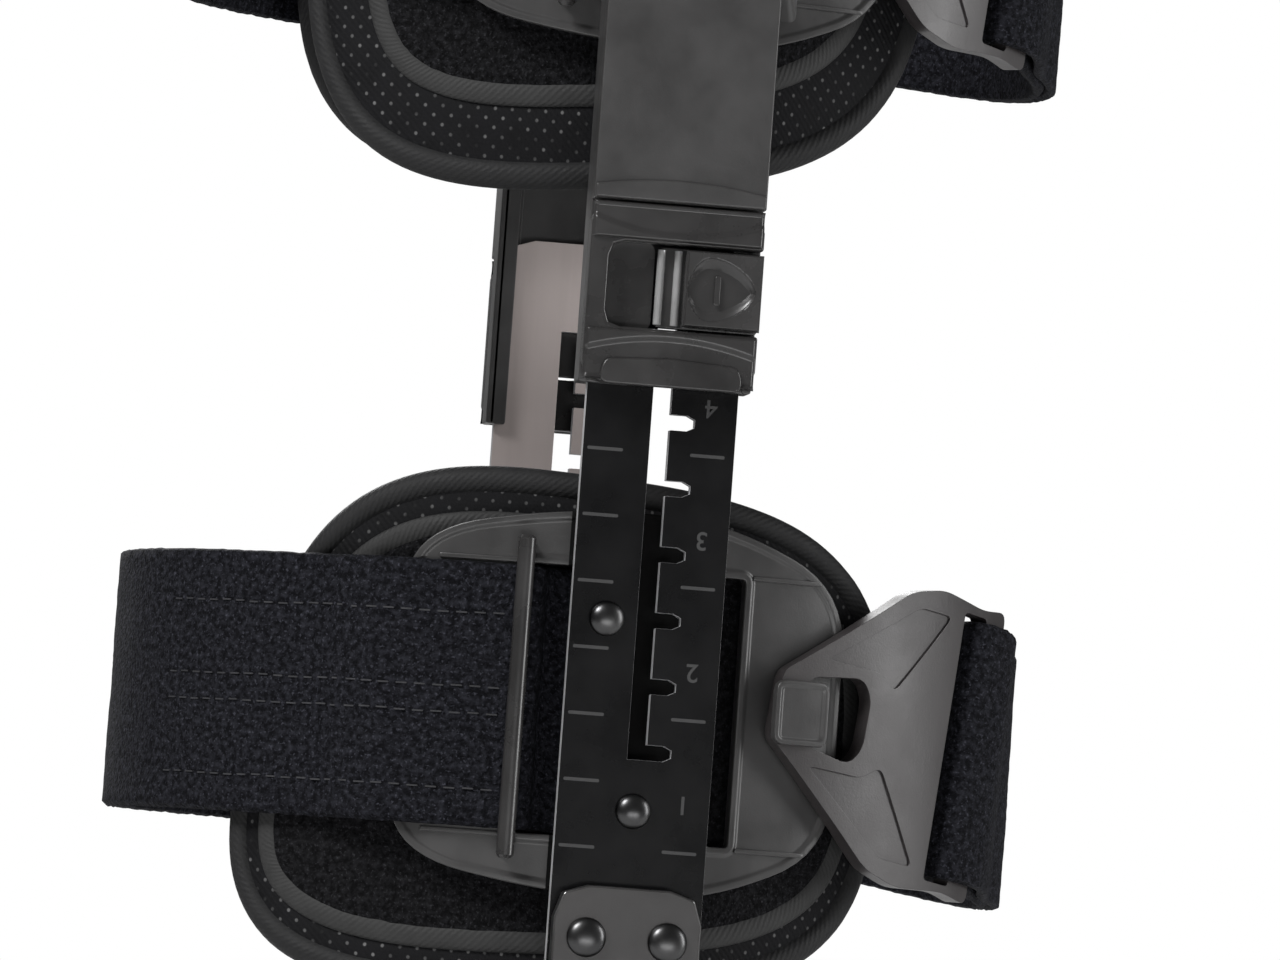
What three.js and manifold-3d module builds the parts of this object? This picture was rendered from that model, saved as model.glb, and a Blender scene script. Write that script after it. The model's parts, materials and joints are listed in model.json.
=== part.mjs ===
// Post-op knee brace for a right leg, standing as it is worn, at its full length.
// Millimetres, +Z up the thigh, +X to the front of the leg, -Y to the outer side.
// The origin is the middle of the knee axis, midway between the two hinges.
// Each quarter of the brace is modelled once, with +Y pointing away from the leg and
// +Z pointing away from the knee, and is then mirrored to its side and level.
import * as THREE from "three";
import { mergeVertices } from "three/addons/utils/BufferGeometryUtils.js";
import Module from "manifold-3d";

const wasm = await Module();
wasm.setup();

// Clearance that touching pieces keep
const gap = 0.3;
const cutPast = 1;

// Bars with their notched length slots
const barWidth = 29.3;
const barThick = 2.6;
const barInnerY = 76;
const barLowZ = 34;
const barPastLock = 20;
const barCorner = 6;
const slotWidth = 3.7;
const notchHeight = 3;
const notchReach = 6.6;
const notchPitch = 12.7;
const firstNotchZ = 81;
const notchCount = 8;
const lockedNotch = 7;

// Knee hinge
const hingeWidth = 28.5;
const hingeArmTopZ = 55;
const hingeDiscRadius = 30;
const hingeLeafThick = 4.1;
const hingeInnerThick = 4.2;
const hingeCorner = 6.4;
const pivotRadius = 4;
const capRadius = 21;
const capRimRadius = 22.5;
const capThick = 4.2;
const capRimThick = 1.6;
const capSides = 20;
const pivotSides = 16;
const discSides = 24;
const hingeRivetX = 7.8;
const hingeRivetZ = 45;
const hingeRivetRadius = 3.8;

// Rivets that hold the bars to the wing plates
const rivetShankRadius = 2;
const rivetHeadRadius = 3.4;
const rivetHeadHeight = 2;
const rivetSides = 8;
const highRivetX = -7.7;
const highRivetAbove = 16;
const lowRivetBelow = 20.4;
const bossRadius = 4.5;

// Leg rings: the outer faces of the cuff plates lie on these ellipses
const plateSetBack = 0.4;
const thighRing = { halfDepth: 92, middleX: -6.5 };
const calfRing = { halfDepth: 81, middleX: -4 };
const ringSteps = 720;
const strapStep = 13;
const plateStep = 17;

// Cuff plates
const plateThick = 2.5;
const plateHeight = 74;
const nearPlateZ = 90;
const farPlateZ = 254;
const plateRear = 47;
const plateFront = 41;
const plateShoulder = 14;
const plateCorner = 9;

// Straps, the slots that they pass and the rod over each rear slot
const strapWidth = 50.8;
const strapThick = 2.2;
const strapFit = 0.45;
const strapStart = 10;
const rearPass = 20.2;
const frontPass = 18.4;
const passClearance = 0.5;
const slotNearBar = 13.2;
const frontSlotNearBar = 15.4;
const rodRadius = 1.5;
const rodBehindPass = 2.9;
const rodPostHeight = 2.6;
const rodPostWall = 0.6;
const strapTailRun = 150;
const strapDip = 8;
const dipStartRun = 30;

// Buckles, seen flat: run counts from the tip that the hook holds
const buckleTipRun = 26.5;
const buckleLength = 53;
const buckleHalfWidth = 29.3;
const buckleThick = 4;
const buckleLift = 0.5;
const bucklePass = 44;
const buckleSlotWidth = 7;
const buckleEndBar = 6.4;
const hookHole = { from: 5.7, to: 19.5, half: 8.4 };
const hookClearance = 1.1;
const hookWidth = 12.4;
const hookPostThick = 2.8;
const hookLipThick = 2;
const hookOverhang = 8;

// Foam pads
const padThick = 8;
const padEdgeThick = 3.4;
const padRings = 3;
const padSides = 20;
const padSquareness = 3;
const pads = {
  thigh_outer_near: { lowZ: 33, highZ: 133.5, rear: 84, front: 62, taper: 0.07, lean: 0.15 },
  thigh_inner_near: { lowZ: 33, highZ: 133.5, rear: 70, front: 56, taper: 0.07, lean: 0.05 },
  thigh_outer_far: { lowZ: 190, highZ: 317, rear: 84, front: 60, taper: 0.1, lean: 0 },
  thigh_inner_far: { lowZ: 202, highZ: 317, rear: 76, front: 56, taper: 0.06, lean: 0 },
  calf_outer_near: { lowZ: 46, highZ: 133.5, rear: 66, front: 56, taper: 0.07, lean: 0.05 },
  calf_inner_near: { lowZ: 46, highZ: 133.5, rear: 62, front: 52, taper: 0.07, lean: 0.05 },
  calf_outer_far: { lowZ: 191, highZ: 307, rear: 70, front: 56, taper: 0.08, lean: 0 },
  calf_inner_far: { lowZ: 200, highZ: 307, rear: 66, front: 52, taper: 0.06, lean: 0 },
};

// Sleeves that slide on the bars, and their thumb latches
const sleeveHalfWidth = 16.7;
const sleeveFrontY = 84.6;
const sleeveLipThick = 2.5;
const sleeveCorner = 4;
const railDepth = 1.1;
const grooveHalf = 11.4;
const grooveDepth = 2.6;
const openBackHalf = 12.6;
const spineBelowPlateTop = 7;
const spineCorner = 9;
const channelPastBar = 55;
const coverThick = 4.4;
const windowHeight = 16.4;
const coverBelowWindow = 10.8;
const coverAboveWindow = 7.5;
const windowLeftX = -13;
const windowCorner = 3;
const latchTravel = 4.8;
const tongueThick = 1.6;
const thumbX = { from: 1.9, to: 16.9 };
const thumbHeight = 13;
const thumbThick = 4.2;
const latchPinRadius = 1.3;

// Places worked out from the sizes above
const barOuterY = barInnerY + barThick;
const leafInnerY = barOuterY + gap;
const leafOuterY = leafInnerY + hingeLeafThick;
const sideHalf = barWidth / 2 + gap;
const railY = barOuterY + gap;
const coverInnerY = railY + railDepth + gap;
const lockedZ = firstNotchZ + lockedNotch * notchPitch;
const barTopZ = lockedZ + barPastLock;
const channelTopZ = barTopZ + channelPastBar;
const windowLowZ = lockedZ - windowHeight / 2;
const windowHighZ = lockedZ + windowHeight / 2;
const sleeveLowZ = windowLowZ - coverBelowWindow;
const coverTopZ = windowHighZ + coverAboveWindow;
const spineTopZ = farPlateZ + plateHeight / 2 - spineBelowPlateTop;
const ringSpan = barInnerY - gap - sleeveLipThick - plateSetBack;
const barRivets = [
  { name: "high", x: highRivetX, z: nearPlateZ + highRivetAbove },
  { name: "low", x: 0, z: nearPlateZ - lowRivetBelow },
];
const strapHalf = strapWidth / 2;
const behindPlate = -(plateThick + strapFit + strapThick / 2);
const overPlate = strapFit + strapThick / 2;
const padOuter = behindPlate - strapThick / 2 - strapFit;
const overPad = padOuter + strapFit + strapThick / 2;
const buckleTopOut = buckleLift + buckleThick;
const rodOut = overPlate + strapThick / 2 + gap + rodRadius;

// Solids

function solidOf(geometry) {
  const bare = geometry.index ? geometry.toNonIndexed() : geometry.clone();
  bare.deleteAttribute("normal");
  bare.deleteAttribute("uv");
  const merged = mergeVertices(bare, 1e-4);
  return new wasm.Manifold(new wasm.Mesh({
    numProp: 3,
    vertProperties: new Float32Array(merged.attributes.position.array),
    triVerts: new Uint32Array(merged.index.array),
  }));
}

function geometryOf(solid) {
  const mesh = solid.getMesh();
  const geometry = new THREE.BufferGeometry();
  geometry.setAttribute("position", new THREE.BufferAttribute(mesh.vertProperties, 3));
  geometry.setIndex(new THREE.BufferAttribute(mesh.triVerts, 1));
  return geometry;
}

function joined(geometries) {
  return geometries.map(solidOf).reduce((whole, piece) => whole.add(piece));
}

function cut(solid, geometries) {
  return geometries.map(solidOf).reduce((whole, piece) => whole.subtract(piece), solid);
}

// Faces turned to point out of a closed mesh
function facingOut(geometry) {
  const place = geometry.attributes.position;
  const corners = geometry.index.array;
  const a = new THREE.Vector3();
  const b = new THREE.Vector3();
  const c = new THREE.Vector3();
  let volume = 0;
  for (let i = 0; i < corners.length; i += 3) {
    a.fromBufferAttribute(place, corners[i]);
    b.fromBufferAttribute(place, corners[i + 1]);
    c.fromBufferAttribute(place, corners[i + 2]);
    volume += a.dot(b.cross(c));
  }
  if (volume < 0) {
    for (let i = 0; i < corners.length; i += 3) {
      [corners[i], corners[i + 1]] = [corners[i + 1], corners[i]];
    }
  }
  return geometry;
}

// A quarter's geometry mirrored to its side and level
function mirrored(geometry, quarter) {
  return facingOut(geometry.clone().scale(1, quarter.side, quarter.level));
}

// Outlines

function roundedPolygon(points, radius) {
  const shape = new THREE.Shape();
  points.forEach((corner, i) => {
    const before = points[(i + points.length - 1) % points.length];
    const after = points[(i + 1) % points.length];
    const start = stepFrom(corner, before, radius);
    const end = stepFrom(corner, after, radius);
    if (i === 0) {
      shape.moveTo(start.x, start.y);
    } else {
      shape.lineTo(start.x, start.y);
    }
    shape.quadraticCurveTo(corner.x, corner.y, end.x, end.y);
  });
  shape.closePath();
  return shape;
}

function stepFrom(corner, towards, radius) {
  const reach = Math.min(radius, corner.distanceTo(towards) * 0.49);
  return corner.clone().lerp(towards, reach / corner.distanceTo(towards));
}

function roundedRect(lowX, highX, lowZ, highZ, radius) {
  return roundedPolygon([
    new THREE.Vector2(lowX, lowZ),
    new THREE.Vector2(highX, lowZ),
    new THREE.Vector2(highX, highZ),
    new THREE.Vector2(lowX, highZ),
  ], radius);
}

// An outline in X and Z, made solid from one Y to another
function sidePrism(shape, lowY, highY, curveSegments = 2) {
  const geometry = new THREE.ExtrudeGeometry(shape, {
    depth: highY - lowY,
    bevelEnabled: false,
    curveSegments,
  });
  return geometry.rotateX(Math.PI / 2).translate(0, highY, 0);
}

function box(lowX, highX, lowY, highY, lowZ, highZ) {
  const geometry = new THREE.BoxGeometry(highX - lowX, highY - lowY, highZ - lowZ);
  return geometry.translate((lowX + highX) / 2, (lowY + highY) / 2, (lowZ + highZ) / 2);
}

// A round pin along Y
function roundPin(radius, lowY, highY, x, z, sides) {
  const geometry = new THREE.CylinderGeometry(radius, radius, highY - lowY, sides);
  return geometry.translate(x, (lowY + highY) / 2, z);
}

// What a rivet's shank needs cut out of a piece between two Ys
function shankHole(lowY, highY, x, z) {
  return roundPin(rivetShankRadius + gap, lowY - cutPast, highY + cutPast, x, z, rivetSides);
}

// Leg rings

// An ellipse seen from above. A place on it is given by the distance run along it from
// the bar's line towards the front, and by the distance outside it.
class LegRing {
  constructor({ halfDepth, middleX }) {
    this.halfDepth = halfDepth;
    this.middleX = middleX;
    this.step = (2 * Math.PI) / ringSteps;
    this.startAngle = Math.asin(-middleX / halfDepth);
    this.runs = [0];
    for (let i = 0; i < ringSteps; i += 1) {
      const angle = this.startAngle + (i + 0.5) * this.step;
      const speed = Math.hypot(halfDepth * Math.cos(angle), ringSpan * Math.sin(angle));
      this.runs.push(this.runs[i] + speed * this.step);
    }
    this.length = this.runs[ringSteps];
    const rearStep = Math.round((1.5 * Math.PI - this.startAngle) / this.step);
    this.rearRun = this.length - this.runs[rearStep];
  }

  angleAt(run) {
    const wrapped = ((run % this.length) + this.length) % this.length;
    let low = 0;
    let high = ringSteps;
    while (high - low > 1) {
      const middle = Math.floor((low + high) / 2);
      if (this.runs[middle] <= wrapped) {
        low = middle;
      } else {
        high = middle;
      }
    }
    const share = (wrapped - this.runs[low]) / (this.runs[high] - this.runs[low]);
    return this.startAngle + (low + share) * this.step;
  }

  at(run, out) {
    const angle = this.angleAt(run);
    const normal = new THREE.Vector2(Math.sin(angle) / this.halfDepth, Math.cos(angle) / ringSpan);
    normal.normalize();
    const x = this.middleX + this.halfDepth * Math.sin(angle) + out * normal.x;
    const y = ringSpan * Math.cos(angle) + out * normal.y;
    return new THREE.Vector2(x, y);
  }

  // The turn about Z that lays flat work on the ring at one run
  turnAt(run) {
    const outward = this.at(run, 1).sub(this.at(run, 0));
    return Math.atan2(outward.y, outward.x) - Math.PI / 2;
  }
}

// A wall that follows the ring, between two runs, two offsets and two heights
function curvedSlab(ring, fromRun, toRun, innerOut, outerOut, lowZ, highZ) {
  const steps = Math.ceil((toRun - fromRun) / plateStep);
  const runs = Array.from({ length: steps + 1 }, (_, i) => fromRun + ((toRun - fromRun) * i) / steps);
  const outerEdge = runs.map((run) => ring.at(run, outerOut));
  const innerEdge = runs.map((run) => ring.at(run, innerOut)).reverse();
  const shape = new THREE.Shape(outerEdge.concat(innerEdge));
  const geometry = new THREE.ExtrudeGeometry(shape, { depth: highZ - lowZ, bevelEnabled: false });
  return geometry.translate(0, 0, lowZ);
}

// An outline in run and Z, laid flat against the ring at one run and made solid there
function ringPrism(ring, shape, run, innerOut, outerOut, lean = 0, middleZ = 0) {
  const flat = sidePrism(shape, innerOut, outerOut);
  flat.rotateY(lean);
  flat.rotateZ(ring.turnAt(run));
  const foot = ring.at(run, 0);
  return flat.translate(foot.x, foot.y, middleZ);
}

// Bars

function notchedSlot() {
  const half = slotWidth / 2;
  const notchHalf = notchHeight / 2;
  const path = new THREE.Path();
  path.moveTo(-half, firstNotchZ - notchHalf);
  for (let i = 0; i < notchCount; i += 1) {
    const z = firstNotchZ + i * notchPitch;
    if (i > 0) {
      path.lineTo(half, z - notchHalf);
    }
    path.lineTo(notchReach - notchHalf, z - notchHalf);
    path.lineTo(notchReach, z - notchHalf / 2);
    path.lineTo(notchReach, z + notchHalf / 2);
    path.lineTo(notchReach - notchHalf, z + notchHalf);
    if (i < notchCount - 1) {
      path.lineTo(half, z + notchHalf);
    }
  }
  const topZ = firstNotchZ + (notchCount - 1) * notchPitch + notchHalf;
  path.lineTo(-half, topZ);
  path.closePath();
  return path;
}

function barGeometry() {
  const half = barWidth / 2;
  const shape = roundedRect(-half, half, barLowZ, barTopZ, barCorner);
  shape.holes.push(notchedSlot());
  const rivets = [...barRivets, ...[-hingeRivetX, hingeRivetX].map((x) => ({ x, z: hingeRivetZ }))];
  const holes = rivets.map((rivet) => shankHole(barInnerY, barOuterY, rivet.x, rivet.z));
  return geometryOf(cut(solidOf(sidePrism(shape, barInnerY, barOuterY)), holes));
}

// Knee hinge

function hingeArm(lowZ) {
  const half = hingeWidth / 2;
  const shape = new THREE.Shape();
  shape.moveTo(-half, lowZ);
  shape.lineTo(half, lowZ);
  shape.lineTo(half, hingeArmTopZ - hingeCorner);
  shape.quadraticCurveTo(half, hingeArmTopZ, half - hingeCorner, hingeArmTopZ);
  shape.lineTo(hingeCorner - half, hingeArmTopZ);
  shape.quadraticCurveTo(-half, hingeArmTopZ, -half, hingeArmTopZ - hingeCorner);
  shape.closePath();
  return sidePrism(shape, leafInnerY, leafOuterY);
}

function hingeRivetHoles() {
  return [-hingeRivetX, hingeRivetX].map((x) => shankHole(leafInnerY, leafOuterY, x, hingeRivetZ));
}

// The thigh's leaf: an arm on the bar and a disc over the knee axis
function thighLeafGeometry() {
  const disc = roundPin(hingeDiscRadius, leafInnerY, leafOuterY, 0, 0, discSides);
  const bore = roundPin(pivotRadius + gap, leafInnerY - cutPast, leafOuterY + cutPast, 0, 0, pivotSides);
  return geometryOf(cut(joined([hingeArm(0), disc]), [bore, ...hingeRivetHoles()]));
}

// The calf's leaf: an arm on the bar and a neck to a disc behind the thigh's
function calfLeafGeometry() {
  const innerY = barOuterY - hingeInnerThick;
  const half = hingeWidth / 2;
  const neckTopZ = barLowZ - gap;
  const disc = roundPin(hingeDiscRadius, innerY, barOuterY, 0, 0, discSides);
  const neck = box(-half, half, innerY, barOuterY, neckTopZ / 2, neckTopZ);
  const step = box(-half, half, barOuterY - cutPast, leafOuterY, neckTopZ / 2, neckTopZ);
  const clearance = roundPin(hingeDiscRadius + gap, barOuterY, leafOuterY + cutPast, 0, 0, discSides);
  const bore = roundPin(pivotRadius + gap, innerY - cutPast, leafOuterY, 0, 0, pivotSides);
  const leaf = joined([disc, neck, step, hingeArm(neckTopZ - cutPast)]);
  return geometryOf(cut(leaf, [clearance, bore, ...hingeRivetHoles()]));
}

// The cap with its rim, and the pivot pin behind it
function hingeCapGeometry() {
  const backY = barOuterY - hingeInnerThick;
  const baseY = leafOuterY + gap;
  const points = [
    new THREE.Vector2(0, backY),
    new THREE.Vector2(pivotRadius, backY),
    new THREE.Vector2(pivotRadius, baseY),
    new THREE.Vector2(capRimRadius, baseY),
    new THREE.Vector2(capRimRadius, baseY + capRimThick),
    new THREE.Vector2(capRadius, baseY + capRimThick),
    new THREE.Vector2(capRadius - 1.2, baseY + capThick),
    new THREE.Vector2(0, baseY + capThick),
  ];
  return geometryOf(solidOf(new THREE.LatheGeometry(points, capSides)));
}

// Rivets

// A dome head on a shank along Y, its shank's end at Y = 0
function rivetGeometry(shankLength, headRadius) {
  const points = [new THREE.Vector2(0, 0), new THREE.Vector2(rivetShankRadius, 0)];
  points.push(new THREE.Vector2(rivetShankRadius, shankLength));
  for (let i = 0; i < 2; i += 1) {
    const turn = (i / 2) * (Math.PI / 2);
    const height = shankLength + rivetHeadHeight * Math.sin(turn);
    points.push(new THREE.Vector2(headRadius * Math.cos(turn), height));
  }
  points.push(new THREE.Vector2(0, shankLength + rivetHeadHeight));
  return geometryOf(solidOf(new THREE.LatheGeometry(points, rivetSides)));
}

// Cuff plates

function plateOutline() {
  const high = plateHeight / 2;
  return roundedPolygon([
    new THREE.Vector2(-plateRear, -high * 0.42),
    new THREE.Vector2(-plateRear + 4, -high * 0.86),
    new THREE.Vector2(-plateShoulder, -high),
    new THREE.Vector2(plateShoulder, -high),
    new THREE.Vector2(plateFront, -high * 0.7),
    new THREE.Vector2(plateFront, high * 0.7),
    new THREE.Vector2(plateShoulder, high),
    new THREE.Vector2(-plateShoulder, high),
    new THREE.Vector2(-plateRear + 4, high * 0.86),
    new THREE.Vector2(-plateRear, high * 0.42),
  ], plateCorner);
}

function strapSlot(fromX, toX) {
  const half = strapHalf + passClearance;
  return box(fromX, toX, ringSpan - 4 * plateThick, ringSpan + cutPast, -half, half);
}

// The rod over the rear slot, with a post at each end
function strapRod(ring) {
  const run = -(rearPass + rodBehindPass);
  const middle = ring.at(run, rodOut);
  const half = strapHalf + passClearance;
  const rod = new THREE.CylinderGeometry(rodRadius, rodRadius, 2 * half + rodPostHeight, 8);
  rod.rotateX(Math.PI / 2).translate(middle.x, middle.y, 0);
  const posts = [-1, 1].map((end) => {
    const across = rodRadius + rodPostWall;
    const post = box(-across, across, -plateThick / 2, rodOut + across, 0, rodPostHeight);
    post.rotateZ(ring.turnAt(run));
    const foot = ring.at(run, 0);
    return post.translate(foot.x, foot.y, end > 0 ? half : -half - rodPostHeight);
  });
  return [rod, ...posts];
}

// The hook that holds the buckle: a post through the buckle's hole and a lip over its tip
function buckleHook(ring) {
  const postRun = buckleTipRun + hookHole.from + hookClearance;
  const lipFrom = postRun - hookOverhang;
  const postTo = postRun + hookPostThick;
  const lipInner = buckleTopOut + gap;
  const half = hookWidth / 2;
  const middleZ = buckleMiddleAt(ring, (hookHole.from + hookHole.to) / 2);
  return [
    curvedSlab(ring, postRun, postTo, -plateThick / 2, lipInner + hookLipThick, middleZ - half, middleZ + half),
    curvedSlab(ring, lipFrom, postTo, lipInner, lipInner + hookLipThick, middleZ - half, middleZ + half),
  ];
}

function cuffPlate(ring, hasHook) {
  const high = plateHeight / 2;
  const slab = curvedSlab(ring, -plateRear - 9, plateFront + 9, -plateThick, 0, -high, high);
  const outline = sidePrism(plateOutline(), 0, 2 * ringSpan, 1);
  const slots = [
    strapSlot(-rearPass - strapThick / 2 - passClearance, -slotNearBar),
    strapSlot(frontSlotNearBar, frontPass + strapThick / 2 + passClearance),
  ];
  const plate = cut(solidOf(slab).intersect(solidOf(outline)), slots);
  const extras = hasHook ? [...strapRod(ring), ...buckleHook(ring)] : strapRod(ring);
  return plate.add(joined(extras));
}

// The plate near the knee, with a boss behind the bar at each rivet
function wingPlateGeometry(ring, hasHook) {
  const bosses = barRivets.map((rivet) => roundPin(
    bossRadius, ringSpan - plateThick + cutPast, barInnerY - gap, rivet.x, rivet.z - nearPlateZ, 10,
  ));
  const holes = barRivets.map((rivet) => shankHole(
    ringSpan - 3 * plateThick, barInnerY, rivet.x, rivet.z - nearPlateZ,
  ));
  const plate = cuffPlate(ring, hasHook).add(joined(bosses));
  return geometryOf(cut(plate, holes).translate([0, 0, nearPlateZ]));
}

// The plate far from the knee is one moulding with the spine and the sliding channel
function cuffShellGeometry(ring, hasHook) {
  const half = sleeveHalfWidth;
  const lipY = barInnerY - gap - sleeveLipThick;
  const spine = sidePrism(roundedRect(-half, half, coverTopZ + gap, spineTopZ, spineCorner), lipY, sleeveFrontY);
  const channel = sidePrism(
    roundedRect(-half, half, sleeveLowZ, coverTopZ + 3 * spineCorner, sleeveCorner), lipY, railY + railDepth,
  );
  const rootLowZ = farPlateZ - plateHeight / 2;
  const root = box(-half, half, ringSpan - plateThick + gap, lipY + cutPast, rootLowZ, spineTopZ - spineCorner);
  const shell = cuffPlate(ring, hasHook).translate([0, 0, farPlateZ]).add(joined([spine, channel, root]));
  const lowZ = sleeveLowZ - cutPast;
  return geometryOf(cut(shell, [
    box(-sideHalf, sideHalf, barInnerY - gap, railY, lowZ, channelTopZ),
    box(-grooveHalf, grooveHalf, railY - cutPast, barOuterY + grooveDepth, lowZ, channelTopZ),
    box(-openBackHalf, openBackHalf, lipY - cutPast, barInnerY, lowZ, rootLowZ - cutPast),
  ]));
}

// The sleeve's front cover, open at its window for the thumb latch
function sleeveCoverGeometry() {
  const half = sleeveHalfWidth;
  const outerY = coverInnerY + coverThick;
  const block = sidePrism(roundedRect(-half, half, sleeveLowZ, coverTopZ, sleeveCorner), coverInnerY, outerY);
  const window = sidePrism(
    roundedRect(windowLeftX, half + 2 * sleeveCorner, windowLowZ, windowHighZ, windowCorner),
    coverInnerY - cutPast, outerY + cutPast,
  );
  const groove = box(
    -grooveHalf, grooveHalf, coverInnerY - cutPast, barOuterY + grooveDepth, sleeveLowZ - cutPast, windowLowZ + cutPast,
  );
  return geometryOf(cut(solidOf(block), [window, groove]));
}

// The latch: a tongue in the window, the thumb piece on it and the pin behind it
function latchGeometry() {
  const windowMiddleZ = (windowLowZ + windowHighZ) / 2;
  const tongueLeft = windowLeftX + latchTravel + gap;
  const tongue = sidePrism(
    roundedRect(tongueLeft, thumbX.to, windowLowZ + gap, windowHighZ - gap, windowCorner),
    coverInnerY, coverInnerY + tongueThick,
  );
  const thumb = sidePrism(
    roundedRect(thumbX.from, thumbX.to, windowMiddleZ - thumbHeight / 2, windowMiddleZ + thumbHeight / 2, 3.5),
    coverInnerY + tongueThick / 2, coverInnerY + tongueThick + thumbThick,
  );
  const pinX = notchReach - notchHeight / 2;
  const pin = roundPin(latchPinRadius, railY, coverInnerY + tongueThick / 2, pinX, lockedZ, 10);
  return geometryOf(joined([tongue, thumb, pin]));
}

// Straps and buckles

// How far the strap's middle lies below its level, and how steeply, on its way round the front
function dipAt(ring, run) {
  const frontMiddle = (ring.length - 2 * ring.rearRun) / 2;
  const span = 2 * (frontMiddle - dipStartRun);
  const along = ((run % ring.length) + ring.length) % ring.length - dipStartRun;
  if (along < 0 || along > span) {
    return { z: 0, slope: 0 };
  }
  const turn = (2 * Math.PI * along) / span;
  return {
    z: -strapDip * (1 - Math.cos(turn)) / 2,
    slope: (-strapDip * Math.PI * Math.sin(turn)) / span,
  };
}

// The strap's way: behind the outer plate, out at its rear slot, round the back, in and
// out at the inner plate's slots, round the front, through the buckle and back on itself
function strapStations(ring) {
  const innerSide = -2 * ring.rearRun;
  const outerFront = -ring.length;
  const underBuckle = buckleLift - gap - strapThick / 2;
  const overBuckle = buckleTopOut + gap + strapThick / 2;
  const onItself = overPad + strapThick + gap;
  const pass = outerFront + buckleTipRun + bucklePass;
  const buckleEnd = outerFront + buckleTipRun + buckleLength;
  const offPlate = 3;
  const ontoPad = 18;
  return [
    { run: strapStart, out: behindPlate },
    { run: -rearPass, out: behindPlate },
    { run: -rearPass, out: overPlate },
    { run: -plateRear - offPlate, out: overPlate },
    { run: -plateRear - ontoPad, out: overPad },
    { run: innerSide + plateRear + ontoPad, out: overPad },
    { run: innerSide + plateRear + offPlate, out: overPlate },
    { run: innerSide + rearPass, out: overPlate },
    { run: innerSide + rearPass, out: behindPlate },
    { run: innerSide - frontPass, out: behindPlate },
    { run: innerSide - frontPass, out: overPlate },
    { run: innerSide - plateFront - offPlate, out: overPlate },
    { run: innerSide - plateFront - ontoPad, out: overPad },
    { run: buckleEnd + ontoPad, out: overPad },
    { run: buckleEnd + offPlate, out: underBuckle },
    { run: pass, out: underBuckle },
    { run: pass, out: overBuckle },
    { run: buckleEnd + gap, out: overBuckle },
    { run: buckleEnd + ontoPad, out: onItself },
    { run: outerFront + strapTailRun, out: onItself },
  ];
}

// Stations added so that no face of the strap is longer than a step
function finely(stations) {
  const fine = [stations[0]];
  for (let i = 1; i < stations.length; i += 1) {
    const from = stations[i - 1];
    const to = stations[i];
    const steps = Math.max(1, Math.round(Math.abs(to.run - from.run) / strapStep));
    for (let k = 1; k <= steps; k += 1) {
      const share = k / steps;
      fine.push({ run: from.run + (to.run - from.run) * share, out: from.out + (to.out - from.out) * share });
    }
  }
  return fine;
}

// The sideways step from the middle of a band to its edge at one station
function edgeStep(stations, i, half) {
  const directions = [];
  for (const [from, to] of [[i - 1, i], [i, i + 1]]) {
    if (from >= 0 && to < stations.length) {
      const start = stations[from];
      const end = stations[to];
      directions.push(new THREE.Vector2(end.run - start.run, end.out - start.out).normalize());
    }
  }
  const before = directions[0];
  const after = directions[directions.length - 1];
  const scale = half / (1 + before.dot(after));
  return new THREE.Vector2(-(before.y + after.y) * scale, (before.x + after.x) * scale);
}

// A quad for each pair of neighbouring corners of two station loops, and two end faces
function bandFaces(count) {
  const faces = [];
  const quad = (a, b, c, d) => faces.push(a, b, c, a, c, d);
  for (let i = 0; i < count - 1; i += 1) {
    for (let k = 0; k < 4; k += 1) {
      const next = (k + 1) % 4;
      quad(4 * i + k, 4 * i + next, 4 * i + 4 + next, 4 * i + 4 + k);
    }
  }
  const last = 4 * (count - 1);
  quad(3, 2, 1, 0);
  quad(last, last + 1, last + 2, last + 3);
  return faces;
}

function strapGeometry(ring, middleZ) {
  const stations = finely(strapStations(ring));
  const corners = [];
  stations.forEach((station, i) => {
    const edge = edgeStep(stations, i, strapThick / 2);
    const dip = dipAt(ring, station.run);
    for (const [side, end] of [[-1, -1], [1, -1], [1, 1], [-1, 1]]) {
      const across = end * strapHalf;
      const run = station.run + side * edge.x - dip.slope * across;
      const place = ring.at(run, station.out + side * edge.y);
      corners.push(place.x, place.y, middleZ + dip.z + across);
    }
  });
  const geometry = new THREE.BufferGeometry();
  geometry.setAttribute("position", new THREE.Float32BufferAttribute(corners, 3));
  geometry.setIndex(bandFaces(stations.length));
  return facingOut(geometry);
}

function buckleOutline() {
  const wide = buckleHalfWidth;
  const long = buckleLength;
  const halfPoints = [
    { along: 0, across: 0.22 },
    { along: 0.04, across: 0.28 },
    { along: 0.47, across: 0.93 },
    { along: 0.62, across: 1 },
    { along: 0.85, across: 0.95 },
    { along: 1, across: 0.99 },
  ];
  const low = halfPoints.map((point) => new THREE.Vector2(point.along * long, -point.across * wide));
  const high = halfPoints.map((point) => new THREE.Vector2(point.along * long, point.across * wide));
  return roundedPolygon(low.concat(high.reverse()), 2.2);
}

// The height of the buckle's middle line at a distance along it, from its strap's slope
function buckleMiddleAt(ring, along) {
  const dip = dipAt(ring, buckleTipRun + bucklePass);
  return dip.z + (bucklePass - along) * Math.sin(-dip.slope);
}

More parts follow.
